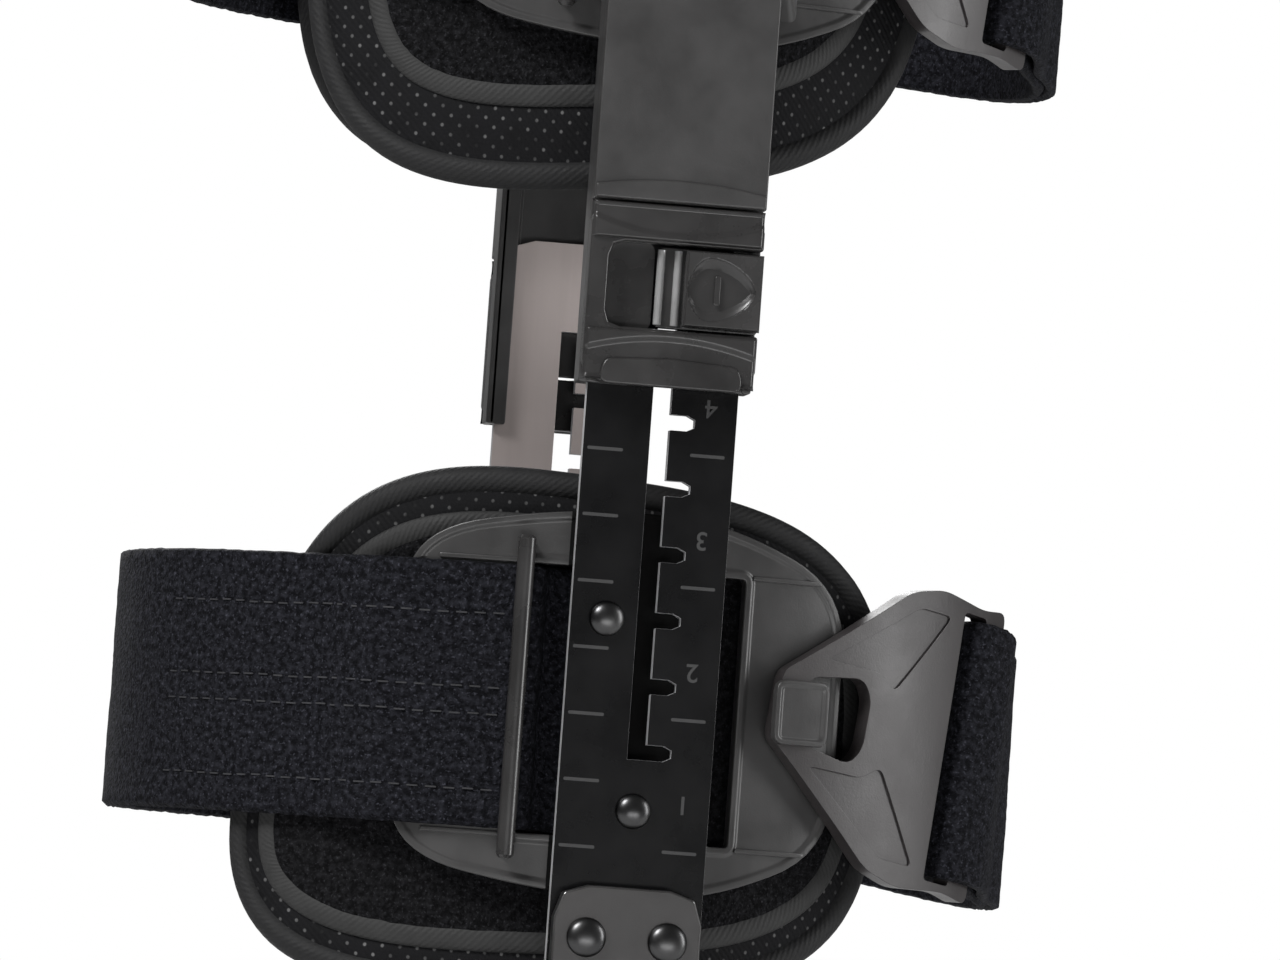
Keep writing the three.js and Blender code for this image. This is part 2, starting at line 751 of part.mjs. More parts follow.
function buckleGeometry(ring) {
  const lean = -dipAt(ring, buckleTipRun + bucklePass).slope;
  const slab = curvedSlab(ring, buckleTipRun - 8, buckleTipRun + buckleLength + 8,
    buckleLift, buckleTopOut, -2 * buckleHalfWidth, 2 * buckleHalfWidth);
  const outline = buckleOutline();
  const hole = roundedRect(hookHole.from, hookHole.to, -hookHole.half, hookHole.half, 2);
  const slotTo = buckleLength - buckleEndBar;
  const slotHalf = strapHalf + 1;
  const slot = roundedRect(slotTo - buckleSlotWidth, slotTo, -slotHalf, slotHalf, 1);
  const laid = (shape, along) => {
    const prism = sidePrism(shape, -3 * buckleThick, 3 * buckleThick, 1).translate(-along, 0, 0);
    const run = buckleTipRun + along;
    const foot = ring.at(run, buckleTopOut);
    prism.rotateY(lean).rotateZ(ring.turnAt(run));
    return prism.translate(foot.x, foot.y, buckleMiddleAt(ring, along));
  };
  const body = solidOf(slab).intersect(solidOf(laid(outline, buckleLength / 2)));
  const holes = [
    laid(hole, (hookHole.from + hookHole.to) / 2),
    laid(slot, slotTo - buckleSlotWidth / 2),
  ];
  return geometryOf(cut(body, holes));
}

// Foam pads

// A place on a pad: the share from its middle to its rim, and the turn round it
function padPlace(ring, pad, share, turn, face) {
  const power = 2 / padSquareness;
  const along = Math.sign(Math.cos(turn)) * Math.abs(Math.cos(turn)) ** power * share;
  const up = Math.sign(Math.sin(turn)) * Math.abs(Math.sin(turn)) ** power * share;
  const reach = ((pad.front + pad.rear) / 2) * (along < 0 ? 1 - pad.lean * up : 1);
  const run = (pad.front - pad.rear) / 2 + along * reach;
  const halfHeight = ((pad.highZ - pad.lowZ) / 2) * (1 - pad.taper * along);
  const thick = padEdgeThick + (padThick - padEdgeThick) * (1 - share ** 6);
  const middleOut = padOuter - padThick / 2;
  const place = ring.at(run, middleOut + (face * thick) / 2);
  return [place.x, place.y, (pad.highZ + pad.lowZ) / 2 + up * halfHeight];
}

function padGeometry(ring, pad) {
  const corners = [];
  const faces = [];
  const shares = Array.from({ length: padRings }, (_, i) => ((i + 1) / padRings) ** 0.7);
  for (const face of [1, -1]) {
    const middle = corners.length / 3;
    corners.push(...padPlace(ring, pad, 0, 0, face));
    shares.forEach((share, ringIndex) => {
      for (let i = 0; i < padSides; i += 1) {
        corners.push(...padPlace(ring, pad, share, (2 * Math.PI * i) / padSides, face));
      }
      for (let i = 0; i < padSides; i += 1) {
        const here = middle + 1 + ringIndex * padSides + i;
        const next = middle + 1 + ringIndex * padSides + ((i + 1) % padSides);
        const flip = face > 0;
        const triangles = ringIndex === 0
          ? [[middle, here, next]]
          : [[here - padSides, here, next], [here - padSides, next, next - padSides]];
        triangles.forEach(([a, b, c]) => faces.push(...(flip ? [a, c, b] : [a, b, c])));
      }
    });
  }
  const perFace = 1 + padRings * padSides;
  const rim = 1 + (padRings - 1) * padSides;
  for (let i = 0; i < padSides; i += 1) {
    const next = (i + 1) % padSides;
    const [a, b, c, d] = [rim + i, rim + next, perFace + rim + next, perFace + rim + i];
    faces.push(a, b, c, a, c, d);
  }
  const geometry = new THREE.BufferGeometry();
  geometry.setAttribute("position", new THREE.Float32BufferAttribute(corners, 3));
  geometry.setIndex(faces);
  return facingOut(geometry);
}

// Materials

const finishes = {
  bar: { color: 0x17181a, roughness: 0.42, metalness: 0.1 },
  leaf: { color: 0x45454a, roughness: 0.38, metalness: 0.7 },
  shell: { color: 0x3a3b3d, roughness: 0.3, metalness: 0.0 },
  cover: { color: 0x303133, roughness: 0.34, metalness: 0.0 },
  latch: { color: 0x242527, roughness: 0.4, metalness: 0.0 },
  buckle: { color: 0x4a4541, roughness: 0.6, metalness: 0.0 },
  rivet: { color: 0x5a5856, roughness: 0.25, metalness: 1.0 },
  strap: { color: 0x16161b, roughness: 0.95, metalness: 0.0 },
  pad: { color: 0x222226, roughness: 0.95, metalness: 0.0 },
};

function addMesh(group, name, geometry, finish) {
  const mesh = new THREE.Mesh(geometry, new THREE.MeshStandardMaterial(finishes[finish]));
  mesh.name = name;
  geometry.computeVertexNormals();
  group.add(mesh);
  return mesh;
}

// A rivet set upright on its own side of the brace
function addRivet(group, name, quarter, geometry, x, z, footY) {
  const mesh = addMesh(group, name, geometry.clone(), "rivet");
  mesh.position.set(x, quarter.side * footY, quarter.level * z);
  mesh.rotation.z = quarter.side < 0 ? Math.PI : 0;
}

// Assembly

const quarters = [
  { name: "thigh_outer", limb: "thigh", side: -1, level: 1, ring: new LegRing(thighRing), hasHook: true },
  { name: "thigh_inner", limb: "thigh", side: 1, level: 1, ring: new LegRing(thighRing), hasHook: false },
  { name: "calf_outer", limb: "calf", side: -1, level: -1, ring: new LegRing(calfRing), hasHook: true },
  { name: "calf_inner", limb: "calf", side: 1, level: -1, ring: new LegRing(calfRing), hasHook: false },
];

function addQuarter(group, quarter) {
  const add = (name, geometry, finish) => addMesh(group, `${quarter.name}_${name}`, mirrored(geometry, quarter), finish);
  add("bar", barGeometry(), "bar");
  add("wing_plate", wingPlateGeometry(quarter.ring, quarter.hasHook), "shell");
  add("cuff_shell", cuffShellGeometry(quarter.ring, quarter.hasHook), "shell");
  add("sleeve_cover", sleeveCoverGeometry(), "cover");
  add("latch", latchGeometry(), "latch");
  add("near_pad", padGeometry(quarter.ring, pads[`${quarter.name}_near`]), "pad");
  add("far_pad", padGeometry(quarter.ring, pads[`${quarter.name}_far`]), "pad");
  add("hinge_leaf", quarter.level > 0 ? thighLeafGeometry() : calfLeafGeometry(), "leaf");
  const plateBackY = ringSpan - plateThick + 0.3;
  const barRivet = rivetGeometry(barOuterY + gap - plateBackY, rivetHeadRadius);
  for (const rivet of barRivets) {
    addRivet(group, `${quarter.name}_${rivet.name}_rivet`, quarter, barRivet, rivet.x, rivet.z, plateBackY);
  }
  const hingeRivet = rivetGeometry(leafOuterY + gap - barInnerY, hingeRivetRadius);
  for (const [name, x] of [["rear", -hingeRivetX], ["front", hingeRivetX]]) {
    addRivet(group, `${quarter.name}_${name}_hinge_rivet`, quarter, hingeRivet, x, hingeRivetZ, barInnerY);
  }
}

// A strap and its buckle, at one height of one limb
function addStrap(group, quarter, level, middleZ) {
  const strap = strapGeometry(quarter.ring, middleZ);
  addMesh(group, `${quarter.limb}_${level}_strap`, mirrored(strap, quarter), "strap");
  const buckle = buckleGeometry(quarter.ring).translate(0, 0, middleZ);
  addMesh(group, `${quarter.limb}_${level}_buckle`, mirrored(buckle, quarter), "buckle");
}

const brace = new THREE.Group();
for (const limb of ["thigh", "calf"]) {
  const limbGroup = new THREE.Group();
  for (const quarter of quarters.filter((each) => each.limb === limb)) {
    addQuarter(limbGroup, quarter);
    if (quarter.hasHook) {
      addStrap(limbGroup, quarter, "near", nearPlateZ);
      addStrap(limbGroup, quarter, "far", farPlateZ);
    }
  }
  brace.add(limbGroup);
}
for (const [name, side] of [["outer", -1], ["inner", 1]]) {
  addMesh(brace, `${name}_hinge_cap`, mirrored(hingeCapGeometry(), { side, level: 1 }), "leaf");
}

export default brace;
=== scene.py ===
"""The looks of a post-operative knee brace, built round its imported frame.

Every piece is modelled in millimetres in the frame of one quarter of the brace, with Y
outward from the leg and Z away from the knee, and is then mirrored to its side and limb.
"""

import json
import logging
import math
from bisect import bisect_right
from collections.abc import Callable, Sequence
from dataclasses import dataclass
from enum import Enum
from functools import cached_property
from typing import ClassVar

import bmesh
import bpy
from mathutils import Matrix, Vector, noise

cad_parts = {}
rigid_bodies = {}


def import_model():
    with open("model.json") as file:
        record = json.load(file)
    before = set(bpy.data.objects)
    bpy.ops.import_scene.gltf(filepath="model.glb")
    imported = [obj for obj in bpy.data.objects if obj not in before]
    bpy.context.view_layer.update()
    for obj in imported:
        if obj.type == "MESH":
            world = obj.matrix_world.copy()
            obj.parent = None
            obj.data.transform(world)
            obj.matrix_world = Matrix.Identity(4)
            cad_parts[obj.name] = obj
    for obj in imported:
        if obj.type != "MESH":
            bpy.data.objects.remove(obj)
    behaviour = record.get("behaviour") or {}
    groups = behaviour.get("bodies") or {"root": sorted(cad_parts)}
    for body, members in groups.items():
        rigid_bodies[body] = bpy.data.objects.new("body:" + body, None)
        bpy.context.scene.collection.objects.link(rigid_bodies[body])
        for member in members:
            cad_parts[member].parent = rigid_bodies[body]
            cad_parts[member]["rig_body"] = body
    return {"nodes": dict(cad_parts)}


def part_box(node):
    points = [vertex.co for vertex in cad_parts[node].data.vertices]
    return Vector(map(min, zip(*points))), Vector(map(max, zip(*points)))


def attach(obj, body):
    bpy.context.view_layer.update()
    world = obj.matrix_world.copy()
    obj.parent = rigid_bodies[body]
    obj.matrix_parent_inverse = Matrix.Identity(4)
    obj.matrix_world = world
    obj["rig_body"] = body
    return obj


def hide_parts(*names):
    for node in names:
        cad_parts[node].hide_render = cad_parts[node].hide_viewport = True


log = logging.getLogger("brace")
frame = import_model()

MM = 0.001
GAP = 0.3

# Bars and their notched slot
BAR_OUTER_Y = 78.6
BAR_HALF = 14.65
NOTCH_PITCH = 12.7
FIRST_MARK_Z = 62.3
MARK_COUNT = 9
MARK_HALF = 0.32
NUMERAL_SIZE = 5.0
NUMERAL_X = 9.5

# Rivets
RIVET_RADIUS = 3.4
HINGE_RIVET_RADIUS = 3.8
RIVET_HEAD = 2.0
RIVET_DOME = 2.1
BOSS_PLACES = ((-7.7, 106.0), (0.0, 69.6))

# Leg rings, which the outer faces of the cuff plates lie on
RING_SPAN = 72.8
RING_STEPS = 720

# Cuff plates
PLATE_THICK = 2.5
PLATE_HALF_HEIGHT = 37.0
PLATE_CORNER = 13.0
PLATE_CUT = 1.5
SLOT_HALF = 25.9
HOOK_LOW_RUN = 25.3
HOOK_HIGH_RUN = 36.1
HOOK_HALF = 6.2

# Straps and their way round the leg
STRAP_WIDTH = 50.8
STRAP_THICK = 2.2
BEHIND_PLATE = -4.05
OVER_PLATE = 1.55
OVER_PAD = -4.05
ROD_RUN = -23.1
ROD_OUT = 4.45
ROD_HALF = 31.0
ROD_RADIUS = 1.7
SKIN_STEPS = 72
STITCH_ROWS = (15.5, 1.3, -3.8, -18.2)
STITCH_COUNT = 22
STITCH_PITCH = 3.5
STITCH_FROM_RUN = -27.5

# Buckles
BUCKLE_TIP_RUN = 26.5
BUCKLE_LENGTH = 53.0
BUCKLE_HALF_WIDTH = 29.3
BUCKLE_PASS = 44.0
BUCKLE_LOW_OUT = 0.5
BUCKLE_TOP_OUT = 4.5

# Sleeves and their window
SLEEVE_HALF = 16.7
WINDOW_LOW_Z = 161.7
WINDOW_HIGH_Z = 178.1
COVER_LOW_Z = 150.9
COVER_TOP_Z = 185.6
COVER_FRONT_Y = 84.7
SPINE_FRONT_Y = 84.6
SPINE_TOP_Z = 284.0
THUMB_LOW_X = 1.9
THUMB_HIGH_X = 16.9
THUMB_HALF = 7.4

# The spine's root, and the channel in it that the bar slides up
ROOT_LOW_Z = 219.0
ROOT_BACK_Y = 70.6
CHANNEL_HALF = 14.95
CHANNEL_BACK_Y = 75.6
CHANNEL_FRONT_Y = 80.0
CHANNEL_TOP_Z = 245.0
CHANNEL_LOW_Y = 73.2

Point = tuple[float, float]
Place = tuple[float, float, float]
Colour = tuple[float, float, float]
Socket = bpy.types.NodeSocket


class Option(Enum):
    """A named option with one number of its own."""

    def __init__(self, label: str, number: float) -> None:
        """Takes the option's name and its number."""
        self.label = label
        self.number = number


class Limb(Option):
    """The two limbs, with the sign of Z away from the knee."""

    THIGH = ("thigh", 1)
    CALF = ("calf", -1)


class Side(Option):
    """The two sides of the leg, with the sign of Y outward from it."""

    OUTER = ("outer", -1)
    INNER = ("inner", 1)


class Level(Option):
    """The two levels of plates on a limb, with the height of their middles."""

    NEAR = ("near", 90.0)
    FAR = ("far", 254.0)


@dataclass(frozen=True)
class LegRing:
    """An ellipse round the leg, on which the outer faces of one limb's plates lie.

    Attributes:
        half_depth: Half of its size from back to front, in millimetres.
        middle_x: Where its middle lies ahead of the bars' line.
    """

    half_depth: float
    middle_x: float

    @cached_property
    def start_angle(self) -> float:
        """The ellipse's angle at the bars' line."""
        return math.asin(-self.middle_x / self.half_depth)

    @cached_property
    def runs(self) -> list[float]:
        """The distance run along the ring at each of its steps."""
        step = math.tau / RING_STEPS
        lengths = [0.0]
        for i in range(RING_STEPS):
            angle = self.start_angle + (i + 0.5) * step
            speed = math.hypot(self.half_depth * math.cos(angle), RING_SPAN * math.sin(angle))
            lengths.append(lengths[-1] + speed * step)
        return lengths

    @property
    def length(self) -> float:
        """The whole way round."""
        return self.runs[-1]

    @cached_property
    def rear_run(self) -> float:
        """The way from the bars' line to the middle of the back."""
        rear_step = round((1.5 * math.pi - self.start_angle) * RING_STEPS / math.tau)
        return self.length - self.runs[rear_step]

    def at(self, run: float, out: float) -> Point:
        """Finds a place beside the ring.

        Args:
            run: The distance along the ring from the bars' line towards the front.
            out: The distance outside the ring.

        Returns:
            Its X and Y, in millimetres.
        """
        wrapped = run % self.length
        low = min(bisect_right(self.runs, wrapped), RING_STEPS) - 1
        share = (wrapped - self.runs[low]) / (self.runs[low + 1] - self.runs[low])
        angle = self.start_angle + (low + share) * math.tau / RING_STEPS
        normal = Vector((math.sin(angle) / self.half_depth, math.cos(angle) / RING_SPAN)).normalized()
        return (
            self.middle_x + self.half_depth * math.sin(angle) + out * normal.x,
            RING_SPAN * math.cos(angle) + out * normal.y,
        )

    def run_of(self, x: float) -> float:
        """The run at which the ring's own side has one X."""
        angle = math.asin((x - self.middle_x) / self.half_depth)
        steps = (angle - self.start_angle) * RING_STEPS / math.tau
        low = math.floor(steps)
        place = low % RING_STEPS
        run = self.runs[place] + (steps - low) * (self.runs[place + 1] - self.runs[place])
        return run - self.length if low < 0 else run

    def turn_at(self, run: float) -> float:
        """The turn about Z that lays flat work on the ring at one run."""
        near, far = self.at(run, 0), self.at(run, 1)
        return math.atan2(far[1] - near[1], far[0] - near[0]) - math.pi / 2


RINGS = {Limb.THIGH: LegRing(92, -6.5), Limb.CALF: LegRing(81, -4)}


@dataclass(frozen=True)
class Quarter:
    """One quarter of the brace: one side of one limb."""

    limb: Limb
    side: Side

    @property
    def name(self) -> str:
        """The start of the names of its pieces."""
        return f"{self.limb.label}_{self.side.label}"

    @property
    def ring(self) -> LegRing:
        """The ring that its plates lie on."""
        return RINGS[self.limb]

    @property
    def scale(self) -> Vector:
        """The mirroring that takes a quarter's own frame to the brace's."""
        return Vector((1, self.side.number, self.limb.number))


QUARTERS = [Quarter(limb, side) for limb in Limb for side in Side]


def body_of(node: str) -> str:
    """The name of the body that a frame node rides on."""
    return frame["nodes"][node]["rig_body"]


def rounded(points: Sequence[Point], radius: float, steps: int = 5) -> list[Point]:
    """Rounds the corners of an outline.

    Args:
        points: The outline's corners, in order.
        radius: How far from a corner its rounding starts.
        steps: The pieces that each corner is made of.

    Returns:
        The rounded outline's points.
    """
    curve = []
    for i, corner in enumerate(points):
        here = Vector(corner)
        before, after = Vector(points[i - 1]), Vector(points[(i + 1) % len(points)])
        start = here.lerp(before, min(radius / (before - here).length, 0.49))
        end = here.lerp(after, min(radius / (after - here).length, 0.49))
        for k in range(steps + 1):
            share = k / steps
            curve.append(tuple(start.lerp(here, share).lerp(here.lerp(end, share), share)))
    return curve


def rectangle(low_x: float, high_x: float, low_z: float, high_z: float, radius: float) -> list[Point]:
    """The outline of a rectangle with rounded corners."""
    return rounded([(low_x, low_z), (high_x, low_z), (high_x, high_z), (low_x, high_z)], radius)


def both_ways(half: Sequence[Point]) -> list[Point]:
    """A whole outline from the half of it above Z = 0, given along X."""
    return [(x, -z) for x, z in half] + [(x, z) for x, z in reversed(half)]


def smooth(value: float, low: float, high: float) -> float:
    """A smooth step from 0 at one value to 1 at another."""
    share = min(max((value - low) / (high - low), 0), 1)
    return share * share * (3 - 2 * share)


def evenly(points: Sequence[Point], count: int) -> list[Vector]:
    """Spaces points evenly along a closed outline.

    Args:
        points: The outline's points.
        count: How many points to return.

    Returns:
        The evenly spaced points.
    """
    corners = [Vector(point) for point in points] + [Vector(points[0])]
    lengths = [0.0]
    for start, end in zip(corners, corners[1:]):
        lengths.append(lengths[-1] + (end - start).length)
    even = []
    for i in range(count):
        target = lengths[-1] * i / count
        low = min(bisect_right(lengths, target), len(corners) - 1) - 1
        share = (target - lengths[low]) / max(lengths[low + 1] - lengths[low], 1e-9)
        even.append(corners[low].lerp(corners[low + 1], share))
    return even


class Workpiece:
    """A mesh modelled in millimetres, and then made into a shown piece."""

    def __init__(self) -> None:
        """Starts with an empty mesh."""
        self.bm = bmesh.new()
        self.uv = self.bm.loops.layers.uv.new("flat")

    def prism(
        self, loops: Sequence[Sequence[Point]], low: float, high: float,
    ) -> list[bmesh.types.BMFace]:
        """Makes an outline in X and Z solid between two Ys.

        Args:
            loops: The outline's points, then those of each hole in it.
            low: The Y of its inner face.
            high: The Y of its outer face.

        Returns:
            The faces of its outer side.
        """
        edges = []
        for loop in loops:
            corners = [self.bm.verts.new((x, low, z)) for x, z in loop]
            edges += [self.bm.edges.new((corners[i - 1], corners[i])) for i in range(len(corners))]
        filled = bmesh.ops.triangle_fill(self.bm, edges=edges, use_beauty=True, use_dissolve=False)
        faces = [item for item in filled["geom"] if isinstance(item, bmesh.types.BMFace)]
        raised = bmesh.ops.extrude_face_region(self.bm, geom=faces, use_keep_orig=True)
        verts = [item for item in raised["geom"] if isinstance(item, bmesh.types.BMVert)]
        bmesh.ops.translate(self.bm, verts=verts, vec=(0, high - low, 0))
        bmesh.ops.recalc_face_normals(self.bm, faces=self.bm.faces)
        return [item for item in raised["geom"] if isinstance(item, bmesh.types.BMFace)]

    def border(self, faces: list[bmesh.types.BMFace], width: float, step: float, depth: float) -> None:
        """Sinks or raises a face inside a border.

        Args:
            faces: The face, which may be in several parts.
            width: The border's width.
            step: The width of the slope inside it.
            depth: How far the middle rises, below 0 where it sinks.
        """
        bmesh.ops.inset_region(self.bm, faces=faces, thickness=width, use_even_offset=True)
        bmesh.ops.inset_region(self.bm, faces=faces, thickness=step, depth=depth, use_even_offset=True)

    def soften(self, width: float, segments: int = 2, angle: float = 40) -> None:
        """Rounds every edge that is sharper than an angle, in degrees."""
        bmesh.ops.dissolve_limit(
            self.bm, angle_limit=math.radians(0.5), verts=self.bm.verts, edges=self.bm.edges,
        )
        sharp = [
            edge for edge in self.bm.edges
            if len(edge.link_faces) == 2 and edge.calc_face_angle() > math.radians(angle)
        ]
        bmesh.ops.bevel(
            self.bm, geom=sharp, offset=width, offset_type="OFFSET", segments=segments,
            profile=0.5, affect="EDGES", material=-1, clamp_overlap=True,
        )

    def surface(
        self, place: Callable[[float, float], Sequence[float]], long_steps: int, cross_steps: int,
        finish: int = 0, size: Point = (1, 1),
    ) -> None:
        """Bends a grid into a surface.

        Args:
            place: Gives the place of a grid point from its two shares, each from 0 to 1.
            long_steps: The grid's squares one way.
            cross_steps: Its squares the other way.
            finish: The number of its finish.
            size: The grid's real size in metres, for its flat coordinates.
        """
        grid = bmesh.ops.create_grid(self.bm, x_segments=long_steps, y_segments=cross_steps, size=0.5)
        shares = {vert: (vert.co.x + 0.5, vert.co.y + 0.5) for vert in grid["verts"]}
        for face in {face for vert in grid["verts"] for face in vert.link_faces}:
            face.material_index = finish
            for loop in face.loops:
                share = shares[loop.vert]
                loop[self.uv].uv = (share[0] * size[0], share[1] * size[1])
        for vert, share in shares.items():
            vert.co = place(*share)
        bmesh.ops.remove_doubles(self.bm, verts=grid["verts"], dist=0.002)

    def add(self, other: "Workpiece", finish: int | None = None) -> None:
        """Adds another piece's mesh, with all its faces in one finish where one is given."""
        if finish is not None:
            for face in other.bm.faces:
                face.material_index = finish
        mesh = bpy.data.meshes.new("part")
        other.bm.to_mesh(mesh)
        other.bm.free()
        self.bm.from_mesh(mesh)
        bpy.data.meshes.remove(mesh)

    def bend(self, ring: LegRing, step: float, by_x: bool = False) -> None:
        """Cuts flat work across at each step of X and bends it round a ring.

        Args:
            ring: The ring.
            step: The distance between the cuts.
            by_x: Whether its X stays as it is seen from the side, and isn't the run.
        """
        low = min(vert.co.x for vert in self.bm.verts)
        high = max(vert.co.x for vert in self.bm.verts)
        for i in range(math.ceil(low / step), math.floor(high / step) + 1):
            bmesh.ops.bisect_plane(
                self.bm, geom=[*self.bm.verts, *self.bm.edges, *self.bm.faces], dist=0.001,
                plane_co=(i * step, 0, 0), plane_no=(1, 0, 0),
            )
        for vert in self.bm.verts:
            run = ring.run_of(vert.co.x) if by_x else vert.co.x
            vert.co.x, vert.co.y = ring.at(run, vert.co.y)

    def move(self, change: Matrix | Vector) -> None:
        """Moves or turns the whole mesh."""
        matrix = Matrix.Translation(change) if isinstance(change, Vector) else change
        bmesh.ops.transform(self.bm, matrix=matrix, verts=self.bm.verts)

    def mirror(self, quarter: Quarter) -> None:
        """Takes the mesh from a quarter's own frame to the brace's."""
        bmesh.ops.scale(self.bm, vec=quarter.scale, verts=self.bm.verts)

    def piece(
        self, name: str, finishes: Sequence["Finish"], slot: str, nodes: Sequence[str],
        body: str = "", angle: float = 35,
    ) -> bpy.types.Object:
        """Makes the mesh a shown piece that rides on a body.

        Args:
            name: The piece's name.
            finishes: Its finishes, in the order of its faces' numbers.
            slot: The name of a material slot; not used.
            nodes: The frame's nodes that it stands for.
            body: The body that it rides on, where it stands for no node.
            angle: Edges sharper than this many degrees are shaded sharp.

        Returns:
            The piece.
        """
        bmesh.ops.recalc_face_normals(self.bm, faces=self.bm.faces)
        bmesh.ops.scale(self.bm, vec=(MM, MM, MM), verts=self.bm.verts)
        mesh = bpy.data.meshes.new(name)
        self.bm.to_mesh(mesh)
        self.bm.free()
        for finish in finishes:
            mesh.materials.append(finish.material)
        mesh.shade_smooth()
        mesh.set_sharp_from_angle(angle=math.radians(angle))
        made = bpy.data.objects.new(name, mesh)
        bpy.context.scene.collection.objects.link(made)
        if angle < 60:
            even = made.modifiers.new("even_shading", "WEIGHTED_NORMAL")
            even.keep_sharp = True
        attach(made, body or body_of(nodes[0]))
        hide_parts(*nodes)
        log.info("%s: %d faces", name, len(mesh.polygons))
        return made


def block(
    loops: Sequence[Sequence[Point]], low: float, high: float, soft: float = 0, segments: int = 2,
) -> Workpiece:
    """Makes one solid outline with softened edges.

    Args:
        loops: The outline's points, then those of each hole in it.
        low: The Y of its inner face.
        high: The Y of its outer face.
        soft: The width of its edges' rounding, 0 for none.
        segments: The steps of the rounding.

    Returns:
        The block.
    """
    work = Workpiece()
    work.prism(loops, low, high)
    if soft:
        work.soften(soft, segments)
    return work


def copied(node: str) -> Workpiece:
    """Copies a frame node's mesh, merged and in millimetres, in the brace's own frame."""
    work = Workpiece()
    work.bm.from_mesh(frame["nodes"][node].data)
    bmesh.ops.scale(work.bm, vec=(1 / MM, 1 / MM, 1 / MM), verts=work.bm.verts)
    bmesh.ops.remove_doubles(work.bm, verts=work.bm.verts, dist=0.01)
    return work


def lathe(profile: Sequence[Point], steps: int) -> Workpiece:
    """Turns a profile of radii and Ys a full turn about the Y axis."""
    work = Workpiece()
    verts = [work.bm.verts.new((radius, y, 0)) for radius, y in profile]
    edges = [work.bm.edges.new(pair) for pair in zip(verts, verts[1:])]
    bmesh.ops.spin(
        work.bm, geom=verts + edges, cent=(0, 0, 0), axis=(0, 1, 0), angle=math.tau,
        steps=steps, use_merge=True,
    )
    bmesh.ops.remove_doubles(work.bm, verts=work.bm.verts, dist=0.002)
    return work


# Finishes


class NodeWork:
    """Adds nodes to one tree and joins them."""

    def __init__(self, tree: bpy.types.NodeTree) -> None:
        """Works on one tree."""
        self.tree = tree

    def node(self, kind: str, sockets: dict | None = None, **settings: object) -> bpy.types.Node:
        """Adds a node.

        Args:
            kind: The node's type.
            sockets: Values or other nodes' outputs for its inputs, by name or number.
            settings: Its other settings.

        Returns:
            The node.
        """
        made = self.tree.nodes.new(kind)
        for key, value in settings.items():
            setattr(made, key, value)
        for key, value in (sockets or {}).items():
            if isinstance(value, Socket):
                self.tree.links.new(value, made.inputs[key])
            else:
                made.inputs[key].default_value = value
        return made

    def noise(self, place: Socket, scale: float, detail: float) -> Socket:
        """Adds a noise texture and returns its value."""
        made = self.node(
            "ShaderNodeTexNoise", {"Vector": place, "Scale": scale, "Detail": detail, "Roughness": 0.6},
        )
        return made.outputs["Fac"]

    def mapped(self, value: Socket, source: Point, target: Point) -> Socket:
        """Takes a value from one range to another and returns it."""
        made = self.node("ShaderNodeMapRange", {
            "Value": value, "From Min": source[0], "From Max": source[1],
            "To Min": target[0], "To Max": target[1],
        })
        return made.outputs["Result"]

    def mixed(self, share: Socket, low: object, high: object) -> Socket:
        """Mixes two colours by a share and returns the mixture."""
        return self.node("ShaderNodeMix", {0: share, 6: low, 7: high}, data_type="RGBA").outputs[2]

    def math(self, operation: str, *values: object) -> Socket:
        """Adds a sum and returns its result."""
        return self.node("ShaderNodeMath", dict(enumerate(values)), operation=operation).outputs[0]

    def stretched(self, place: Socket, scale: Sequence[float]) -> Socket:
        """Scales a place along each axis and returns it."""
        return self.node("ShaderNodeMapping", {"Vector": place, "Scale": scale}).outputs["Vector"]


